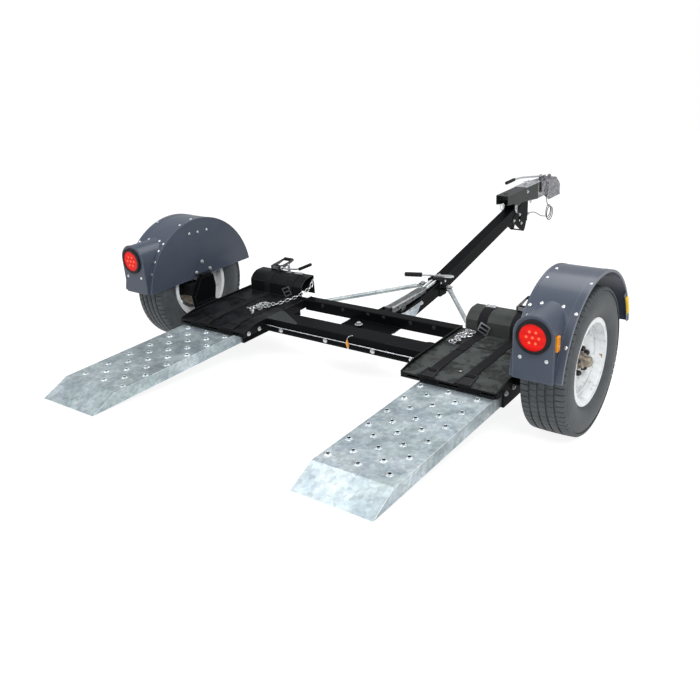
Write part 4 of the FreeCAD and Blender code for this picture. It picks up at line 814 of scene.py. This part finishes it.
def rim_band(shape, x0, x1, first, last, inner, outer, steps=12, taper=0):
    """Band that follows the round cover from one angle to another."""
    rings = []
    for step in range(steps + 1):
        angle = first + (last - first) * step / steps
        rings.append([cover_point(x0, angle, inner), cover_point(x1, angle, inner),
                      cover_point(x1 - taper, angle, outer), cover_point(x0 + taper, angle, outer)])
    shape.loft(rings)


def marker_flange(shape):
    rim_band(shape, 1298.5, 1301, 146, 170, -30, -1)


def front_marker(shape):
    """Clearance lamp on the flange at the front of the cover's outer edge."""
    rim_band(shape, 1300.8, 1304, 150, 164, -28, -3)
    rim_band(shape, 1303.5, 1307, 150.6, 163.4, -26.5, -4.5)
    rim_band(shape, 1306.5, 1308.5, 151.4, 162.6, -24, -7)


def cover_point(x, angle, lift=0.0):
    """Point on the round cover, angle in degrees up from its rear."""
    a = radians(angle)
    r = 402.0 + lift
    return Vector((x, 3 - r * cos(a), 330 + r * sin(a)))


def fender_bolts(shape):
    for x, angle in ((1108, 88), (1105, 75), (1141, 53.8), (1231, 53.8), (1096, 51.5), (1103, 44.6),
                     (1094, 35), (1094, 25), (1291, 74.7), (1291, 50.2), (1291, 30)):
        a = radians(angle)
        shape.dome(cover_point(x, angle), (0, -cos(a), sin(a)), 8.5, 4)
    for x in (1131, 1241):
        shape.dome((x, -408, 486), (0, -1, 0), 8.5, 4)
    for y, z in ((0, 478), (-53, 424), (54, 422)):
        shape.bolt((1074, y, z), (-1, 0, 0), 9, 7)
    for y, z in ((-61, 659), (4, 654), (75, 652)):
        shape.dome((1081, y, z), (-1, 0, 0), 8, 4)


def fender_strips(shape):
    """Folded seam along the inner edge and the flange strip along the outer edge."""
    for x0, x1, inner, outer, taper in ((1079.5, 1092, -1, 1.6, 0.8), (1270, 1302.5, -1, 1.6, 0.8),
                                        (1301, 1302.5, -10, 1.2, 0)):
        rim_band(shape, x0, x1, 9.5, 170.5, inner, outer, 40, taper)
    arch = []
    for step in range(25):
        angle = radians(180 - 7.5 * step)
        arch.append((1185 + 85 * cos(angle), -404, 580 + 85 * sin(angle)))
    shape.tube([(1100, -404, 400)] + arch + [(1270, -404, 400)], 2.6, 8)


for_both(light_lens, "tail_light_cover", "red_lens", "red_lens", "bed")
for_both(marker_flange, "front_marker_flange", "fender_paint", "fender_paint", "bed")
for_both(front_marker, "front_marker", "yellow_lens", "amber_lens", "bed")
for_both(light_dots, "tail_light_dots", "led_red", "red_lens", "bed")
for_both(light_rim, "tail_light_rim", "red_lens", "red_lens", "bed")
for_both(fender_bolts, "fender_bolts", "zinc", "zinc", "bed")
for_both(fender_strips, "fender_strips", "fender_paint", "fender_paint", "bed")


# Straps, ratchets, chains and hooks

DECK = 246.0
RAMP_TOP = 202.0
STRAP_TAILS = ((631, -233), (807, -213))


def deck_height(y):
    """Top of a pan's deck, which bends down towards the rear."""
    return DECK - 10 * max(0, -95 - y) / 202


def strap_line(tail, end):
    """Centre line of a strap as (y, z): deck, raised strip, deck, wheel stop."""
    line = [(tail, deck_height(tail) + 1.7), (-95, 247.7), (76, 247.7), (90, 252.0),
            (147, 252.0), (161, 247.7), (238, 247.9), (245.2, 251.5), (246.6, 262), (250.6, 314)]
    for step in range(9):
        angle = radians(148.7 - 58.7 * step / 8)
        line.append((330 + 92.4 * cos(angle), 268.3 + 92.4 * sin(angle)))
    return line + end


def strap_band(shape, x, width, line, thick=2.4):
    """Webbing with rounded edges along a line of (y, z) points."""
    half = width / 2
    rings = []
    for index, (y, z) in enumerate(line):
        a = line[max(index - 1, 0)]
        b = line[min(index + 1, len(line) - 1)]
        along = Vector((0, b[0] - a[0], b[1] - a[1])).normalized()
        up = Vector((0, -along.z, along.y))
        t = thick / 2
        wave = 0.5 * sin(index * 2.1 + x)
        ring = []
        for dx, dz in ((-half, -0.4 * t), (-half + 1, -t), (half - 1, -t), (half, -0.4 * t),
                       (half, 0.4 * t), (half - 1, t), (half * 0.3, t * 1.1),
                       (-half * 0.3, t * 1.1), (-half + 1, t), (-half, 0.4 * t)):
            ring.append(Vector((x + dx + wave, y, z)) + up * dz)
        rings.append(ring)
    shape.loft(rings)


def straps(shape):
    strap_band(shape, 631, 50, strap_line(-236, [(356, 360.9)]))
    strap_band(shape, 807, 50, strap_line(-216, [(336, 364.5)]))
    for x, tail in STRAP_TAILS:
        line = [(tail, deck_height(tail) + 4.0), (tail + 96, DECK + 2.6)]
        strap_band(shape, x, 49, line, 2.3)
    strap_band(shape, 631, 48, [(20, 250.2), (74, 250.2)], 2.3)


def strap_stitches(shape):
    for x, tail in STRAP_TAILS:
        for row in (-17, -6, 6, 17):
            for step in range(9):
                y = tail + 8 + 9.5 * step
                z = deck_height(y) + 5.1
                shape.box(x + row - 0.8, x + row + 0.8, y, y + 5.5, z, z + 0.7)


def strap_hooks(shape):
    """Flat hooks in the sewn ends, reaching over the pan's rear lip."""
    for x, y in ((626, -236), (812, -216)):
        z = deck_height(y)
        back = -290
        low = deck_height(back)
        for a, b in ((x - 30, x - 24), (x + 24, x + 30)):
            shape.slab([(a, y + 22, z + 4.5), (b, y + 22, z + 4.5),
                        (b + (b - x) * 0.35, back, low + 3),
                        (a + (a - x) * 0.35, back, low + 3)], (0, 0, 4))
        shape.tube([(x - 31, y + 18, z + 6.5), (x + 31, y + 18, z + 6.5)], 4.2, 12)
        shape.slab([(x - 30, y - 8, z + 1), (x + 30, y - 8, z + 1), (x + 42, back, low + 0.8),
                    (x - 42, back, low + 0.8)], (0, 0, 3))
        shape.tube([(x - 42, back, low + 4), (x + 42, back, low + 4)], 4.5, 12)


def strap_buckles(shape):
    """Plated slide buckle at the foot of the wheel stop, and the anchor plate on top."""
    angle = radians(-24)
    c, s = cos(angle), sin(angle)
    for a, b, low, high in ((-29, 29, -27, -20), (-29, 29, 20, 27), (-29, -23, -20, 20),
                            (23, 29, -20, 20), (-29, 29, -4, 4)):
        outline = []
        for u, w in ((a, low), (b, low), (b, high), (a, high)):
            outline.append((645 + u * c - w * s, 243.4, 281 + u * s + w * c))
        shape.slab(outline, (0, -3.4, 0))
    shape.slab([(602, 336, 362.2), (660, 336, 362.2), (660, 366, 362.2),
                (602, 366, 362.2)], (0, 0, 3))
    for x in (614, 648):
        shape.bolt((x, 352, 365), (0, 0, 1), 7, 5)


def ratchet_rolls(shape):
    shape.turned((784, 353, 379.3), (1, 0, 0), [(0, 15.2), (1, 15.7), (45, 15.7), (46, 15.2)], 32)
    shape.turned((786, 353, 379.3), (1, 0, 0), [(0, 12), (42, 12)], 24)


def ratchet_pawls(shape):
    """Toothed discs on the spool and the sprung pawl bar of the ratchet frame."""
    for x in (777.5, 833):
        outline = []
        for tooth in range(24):
            angle = 2 * pi * tooth / 24
            r = 15.8 if tooth % 2 else 12.4
            outline.append((x, 353 + r * cos(angle), 379.3 + r * sin(angle)))
        shape.slab(outline, (3.2, 0, 0))
    shape.box(780, 834, 336.5, 340.5, 372, 390)
    for x in (768.5, 841):
        shape.turned((x, 353, 379.3), (1, 0, 0), [(0, 12), (4.5, 12), (5, 10)], 6)


def chain_right(shape):
    shape.chain([(520, 296, 268), (548, 246, 259), (596, 232, 259), (548, 208, 260),
                 (598, 190, 259), (550, 166, 260), (597, 146, 264), (552, 122, 265),
                 (592, 98, 263), (548, 76, 259), (585, 58, 258)])
    shape.chain([(560, 222, 270), (588, 176, 271), (560, 140, 272)])


def chain_left(shape):
    shape.chain([(-509, 330, 352), (-511, 306, 312), (-520, 262, 292), (-545, 200, 274),
                 (-575, 130, 266), (-596, 84, 261), (-668, 66, 261), (-612, 40, 261),
                 (-686, 18, 261), (-622, -8, 261), (-700, -34, 261), (-640, -62, 261),
                 (-612, -100, 260)])
    shape.chain([(-620, 58, 272), (-664, 22, 273), (-634, -18, 272), (-676, -44, 272)])


def ratchet_shaft(shape):
    """Left ratchet's drive: bearing post on the wheel stop and the turning shaft."""
    shape.box(-724, -694, 340, 366, 359.2, 362.5)
    shape.turned((-709, 353, 361), (0, 0, 1), [(0, 9), (40, 8.5), (48, 8.5), (50, 7)], 20)
    shape.tube([(-770, 353, 379.3), (-712, 353, 379.3)], 6, 14)
    shape.tube([(-712, 353, 380), (-660, 353, 385), (-628, 353, 391), (-600, 353, 401)], 5, 12)


def ribbed(head, count, pitch, crest, root, tail):
    """Profile of a moulded grip, with a crest and a root for each rib."""
    profile = list(head)
    for step in range(count):
        profile += [(crest[0] + pitch * step, crest[1]), (root[0] + pitch * step, root[1])]
    return profile + tail


def ratchet_lever_grip(shape):
    start = Vector((-632, 353, 388.5))
    along = Vector((98, 0, 44)).normalized()
    profile = ribbed([(0, 7), (3, 9.6)], 10, 9, (8, 9.8), (12, 9.0),
                     [(101, 9.8), (106, 8), (108, 3)])
    shape.turned(start, along, profile, 20)


def ramp_grips():
    """Middle of each pierced grip of the right ramp."""
    for row in range(13):
        for column in range(3 - row % 2):
            yield 617.5 + (row % 2) * 71.5 + 143 * column, -184 - 69 * row


def grip_rings(shape):
    """Bright collars round the grips."""
    for x, y in ramp_grips():
        shape.turned((x, y, RAMP_TOP - 0.5), (0, 0, 1),
                     [(0, 19), (1.0, 18.5), (2.2, 15.5), (4.6, 12.2), (5.4, 10.6), (4.4, 9.4),
                      (-3.5, 9.0)], 24)


def grip_shade_discs(shape):
    """A dark disc inside each grip's hole: painted shade."""
    for x, y in ramp_grips():
        shape.turned((x, y, RAMP_TOP - 3.0), (0, 0, 1),
                     [(0, 9.6), (5.0, 9.3), (3.2, 5.0), (2.6, 0.5)], 20)


for_both(grip_rings, "ramp_grip_rings", "galvanised", "galvanised", "ramp", 50)
for_both(grip_shade_discs, "ramp_grip_shade_discs", "painted_hole_shade", "galvanised", "ramp", 50)


def add_pieces(rows, mirrored=False):
    """One piece for each row of maker, name, body, material and slot."""
    for make, name, body, material, slot in rows:
        shape = Shape()
        make(shape)
        if mirrored:
            shape.mirrored()
        shape.piece(name, body, material, slot)


def add_straps():
    shape = Shape()
    straps(shape)
    made = shape.mirrored().piece("strap_webbing", "bed", "webbing", "webbing", 50)
    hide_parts("wheel_straps")
    add_pieces(((strap_stitches, "strap_stitching", "bed", "thread", "webbing"),
                (strap_hooks, "strap_hooks", "bed", "cast_paint", "cast_paint"),
                (strap_buckles, "strap_buckles", "bed", "zinc", "zinc"),
                (ratchet_rolls, "ratchet_rolls", "bed", "webbing", "webbing"),
                (ratchet_pawls, "ratchet_pawls", "bed", "zinc", "zinc")), mirrored=True)
    add_pieces(((chain_right, "safety_chain_right", "bed", "zinc", "zinc"),
                (chain_left, "safety_chain_left", "bed", "zinc", "zinc"),
                (ratchet_shaft, "ratchet_shaft_left", "bed", "zinc", "zinc"),
                (ratchet_lever_grip, "ratchet_grip_left", "bed", "black_rubber", "black_rubber")))


add_straps()


def handle_grip(shape):
    profile = ribbed([(0, 9.4), (1.5, 11)], 6, 9, (5, 11.2), (9, 10.4), [(58, 11), (60, 9.4)])
    shape.turned((777, 465, 397.3), (1, 0, 0), profile, 20)


for_both(handle_grip, "ratchet_handle_grip", "black_rubber", "black_rubber", "ratchet_handle")


# Frame fittings

def frame_bolts(shape):
    for x in (-392, -87, 212, 440):
        shape.bolt((x, -117, 209), (0, -1, 0), 9.5, 7)
    for side in (1, -1):
        for y in (-176, -261):
            shape.bolt((side * 495, y, 222), (-side, 0, 0), 9.5, 7)
        for y in (-136, -211):
            shape.bolt((side * 984, y, 203), (side, 0, 0), 9.5, 7)
    shape.turned((-40, 120.75, 221.7), (0, 0, 1), [(0, 16), (3, 22), (5, 22), (6, 19)], 32)
    shape.turned((-40, 120.75, 227), (0, 0, 1), [(0, 14), (9, 14), (12, 10), (12.5, 2)], 6)
    shape.bolt((-42, 88, 205.7), (0, 0, 1), 9, 8)


def tube_bolts(shape):
    for side in (1, -1):
        for x in (367, 223, 52):
            shape.bolt((side * x, 226.5, 244), (0, -1, 0), 8, 6)


def latch_bars(shape):
    """Round bars of the latch along both edges of its channel."""
    for x in (-23, 23):
        shape.tube([(x, 356, 251), (x, 540, 251), (x, 712, 251)], 4.2, 12)
    for y in (372, 470, 580, 690):
        shape.turned((-26, y, 250), (1, 0, 0), [(0, 5.6), (8, 5.6)], 14)
        shape.turned((18, y, 250), (1, 0, 0), [(0, 5.6), (8, 5.6)], 14)


def lug_bolts(shape):
    for side in (1, -1):
        shape.dome((side * 582.5, 318, 192), (side, 0, 0), 13, 1.8)
        shape.bolt((side * 531.5, 318, 192), (-side, 0, 0), 12, 9)


def collar_bolts(shape):
    for side in (1, -1):
        shape.bolt((side * 92, 872, 228), (0, 0, 1), 13, 9)
        for y in (864, 914):
            shape.dome((side * 43, y, 246), (side, 0, 0), 8, 4)
        shape.bolt((side * 43, 634, 196), (side, 0, 0), 9, 7)
        shape.bolt((side * 43, 516, 190), (side, 0, 0), 9, 7)
    shape.bolt((0, 905, 278.5), (0, 0, 1), 13, 10)


def gussets(shape):
    """Corner plate where the beam meets a pan."""
    shape.slab([(494.5, -110, 260), (494.5, 13, 260), (470, 13, 260), (285, -98, 260),
                (285, -110, 260)], (0, 0, 3))


def brake_pipe_and_highlight(shape):
    """Steel brake pipe along the beam's rear bar, held by its bolts; its bright zinc line also stands in as a
    painted highlight on the bar's top edge.
    """
    shape.tube([(-494, -121, 226), (-440, -121, 226), (-400, -121, 224), (-384, -121, 224)] +
               [(x, -121.2, 224.5) for x in range(-340, 440, 60)] + [(494, -121, 226)], 2.0, 10)


def pull_tag_wire(shape):
    shape.tube([(82, -98, 261.5), (74, -106, 262), (66, -114, 259), (61, -119, 250),
                (59, -121, 238)], 1.6, 8)
    shape.turned((63, -121, 203), (0.12, 0, -1), [(0, 4), (3, 5), (9, 5), (12, 3)], 14)


def pull_tag(shape):
    shape.slab([(56.5, -119.5, 242), (62, -119.5, 242), (70, -119.5, 222), (69, -119.5, 202),
                (58, -119.5, 201), (52, -119.5, 220)], (0, -5, 0))


def tongue_end_fittings(shape):
    """Bolts and shackles of the coupler and the stand."""
    for side in (1, -1):
        for y, z in ((2080, 555), (2131, 476)):
            shape.bolt((side * 44.5, y, z), (side, 0, 0), 9, 6)
        for y, z in ((1872, 396), (1960, 420), (1990, 352)):
            shape.bolt((side * 42, y, z), (side, 0, 0), 8, 6)
        x = side * 47
        shape.tube([(x, 1880, 492), (x, 1879, 474), (x, 1883, 462), (x, 1890, 457), (x, 1897, 462),
                    (x, 1901, 474), (x, 1900, 492)], 3.4, 10)
        shape.bolt((side * 44.5, 1890, 492), (side, 0, 0), 8, 8)
        shape.turned((side * 42, 1890, 452), (side, 0, 0), [(0, 6), (12, 6), (13, 5)], 14)
    shape.tube([(-12, 1768, 524), (-12, 1767, 505), (-8, 1766.5, 494), (0, 1766, 489),
                (8, 1766.5, 494), (12, 1767, 505), (12, 1768, 524)], 3.0, 10)
    shape.turned((-16, 1768, 524), (1, 0, 0), [(0, 6), (32, 6)], 14)


def connector_rings(shape):
    """Swaged rings and end nut of the cable's fitting."""
    for y, r in ((2114, 13), (2136, 12), (2150, 12.6), (2170, 12), (2186, 12.6)):
        shape.turned((0, y, 369.8), (0, 1, 0), [(0, r - 1), (1, r), (6, r), (7, r - 1)], 20)
    shape.turned((0, 2096.5, 369.8), (0, 1, 0), [(0, 17.5), (13, 17.5), (15, 15)], 6)


def head_trim(shape):
    """Bolts and pressed ribs on the coupler head."""
    for side in (1, -1):
        shape.bolt((side * 46, 2345, 556), (side, 0, 0), 8, 6)
        shape.bolt((side * 46, 2376, 504), (side, 0, 0), 8, 6)
        for y, low, high in ((2400, 470, 560), (2430, 455, 562), (2318, 502, 572)):
            shape.slab([(side * 45.5, y, low), (side * 45.5, y + 7, low),
                        (side * 45.5, y + 7, high), (side * 45.5, y, high)], (side * 3, 0, 0))
    shape.turned((0, 2655, 421.5), (0, 0, 1), [(0, 44), (0.5, 48.5), (6, 48.5), (7, 46)], 40)
    shape.bolt((0, 2560, 573.5), (0, 0, 1), 12, 12)


def lid_trim(shape):
    for x in (-36, 36):
        for y in (2072, 2282):
            shape.bolt((x, y, 588), (0, 0, 1), 5.5, 4)
    knurls = []
    for tooth in range(48):
        angle = 2 * pi * tooth / 48
        r = 25.4 if tooth % 2 else 24.2
        knurls.append((r * cos(angle), 2165.5 + r * sin(angle), 589))
    shape.slab(knurls, (0, 0, 13))


def lever_grip(shape):
    profile = ribbed([(0, 7.5), (3, 11)], 11, 10, (8, 11.2), (13, 10.2),
                     [(122, 11.2), (126, 9), (128, 4)])
    shape.turned((0, 1950, 660.7), (0, -1, -0.008), profile, 20)


def tilt_grip(shape):
    angle = radians(19)
    profile = ribbed([(0, 9), (3, 14.4)], 9, 10, (9, 14.6), (14, 13.4),
                     [(104, 14.2), (109, 11), (111, 5)])
    start = (-100 * cos(angle), 905 - 100 * sin(angle), 278.3)
    shape.turned(start, (-cos(angle), -sin(angle), 0), profile, 24)


def add_fittings():
    add_pieces((
            (frame_bolts, "frame_bolts", "bed", "zinc", "zinc"),
            (lug_bolts, "brace_foot_bolts", "bed", "zinc", "zinc"),
            (brake_pipe_and_highlight, "brake_pipe_and_highlight", "bed", "zinc", "zinc"),
            (pull_tag_wire, "pull_tag_wire", "bed", "zinc", "zinc"),
            (pull_tag, "pull_tag", "bed", "orange_tag", "amber_lens"),
            (collar_bolts, "collar_bolts", "tongue", "zinc", "zinc"),
            (tongue_end_fittings, "coupler_fittings", "tongue", "zinc", "zinc"),
            (connector_rings, "connector_rings", "tongue", "zinc", "zinc"),
            (lid_trim, "lid_screws", "tongue", "zinc", "zinc"),
            (head_trim, "head_trim", "coupler_slide", "head_zinc", "zinc"),
            (lever_grip, "coupler_lever_grip", "coupler_lever", "black_rubber", "black_rubber"),
            (tilt_grip, "tilt_lever_grip", "tilt_lever", "black_rubber", "black_rubber")))
    for side, material in (("right", "frame_paint"), ("left", "case_paint")):
        shape = Shape()
        gussets(shape)
        if side == "left":
            shape.flipped()
        shape.piece("beam_gusset_" + side, "bed", material, "frame_paint")
    add_pieces(((tube_bolts, "front_tube_bolts", "bed", "cast_paint", "cast_paint"),
                (latch_bars, "latch_bars", "tongue", "zinc", "zinc")))


add_fittings()


# Stage and light

# The floor is this share glow to the rays that see it, and the world lights less than it shows
GLOW_SHARE = 0.70
FLOOR_GLOW = 1.25
WORLD_LIGHT = 0.55


def surface(owner, output, share, first, second):
    mix = node(owner, "ShaderNodeMixShader")
    link(owner, share, mix.inputs["Fac"])
    link(owner, first, mix.inputs[1])
    link(owner, second, mix.inputs[2])
    link(owner, mix.outputs["Shader"], output.inputs["Surface"])


def add_stage():
    size = 40
    mesh = bpy.data.meshes.new("floor")
    corners = [(-size, -size, 0), (size, -size, 0), (size, size, 0), (-size, size, 0)]
    mesh.from_pydata(corners, [], [(0, 1, 2, 3)])
    floor = bpy.data.objects.new("floor", mesh)
    bpy.context.scene.collection.objects.link(floor)
    floor.location.z = -0.0005
    mat, shader = new_material("floor_white", (0.86, 0.86, 0.86), 0.8)
    mat.node_tree.nodes.remove(shader)
    diffuse = node(mat, "ShaderNodeBsdfDiffuse", Color=(0.86, 0.86, 0.86, 1))
    glow = node(mat, "ShaderNodeEmission", Color=(1, 1, 1, 1), Strength=FLOOR_GLOW)
    path = node(mat, "ShaderNodeLightPath")
    seen = maths(mat, "MAXIMUM", path.outputs["Is Camera Ray"], path.outputs["Is Glossy Ray"])
    seen = maths(mat, "MAXIMUM", seen, path.outputs["Is Transmission Ray"])
    share = maths(mat, "MULTIPLY", seen, GLOW_SHARE)
    surface(mat, mat.node_tree.nodes["Material Output"], share, diffuse.outputs["BSDF"],
            glow.outputs["Emission"])
    mesh.materials.append(mat)


def add_world():
    world = bpy.data.worlds.new("studio")
    bpy.context.scene.world = world
    world.use_nodes = True
    world.node_tree.nodes.clear()
    lit = node(world, "ShaderNodeBackground", Color=(0.97, 0.985, 1.0, 1), Strength=WORLD_LIGHT)
    seen = node(world, "ShaderNodeBackground", Color=(1, 1, 1, 1), Strength=1.0)
    path = node(world, "ShaderNodeLightPath")
    surface(world, node(world, "ShaderNodeOutputWorld"), path.outputs["Is Camera Ray"],
            lit.outputs["Background"], seen.outputs["Background"])


def add_lamp(name, place, target, size, power):
    data = bpy.data.lights.new(name, "AREA")
    data.shape = "RECTANGLE"
    data.size, data.size_y = size
    data.energy = power
    lamp = bpy.data.objects.new(name, data)
    bpy.context.scene.collection.objects.link(lamp)
    lamp.location = place
    aim = Vector(target) - Vector(place)
    lamp.rotation_euler = aim.to_track_quat("-Z", "Y").to_euler()


add_stage()
add_world()
add_lamp("key", (3.2, -3.6, 4.6), (0, -0.4, 0.3), (2.6, 2.6), 190)
add_lamp("fill", (-2.4, -3.4, 4.8), (0, 0, 0.3), (3.0, 3.0), 110)
add_lamp("top", (0.5, 1.6, 5.2), (0, 0, 0.3), (4.0, 3.0), 130)

bpy.context.scene.view_settings.view_transform = "Standard"
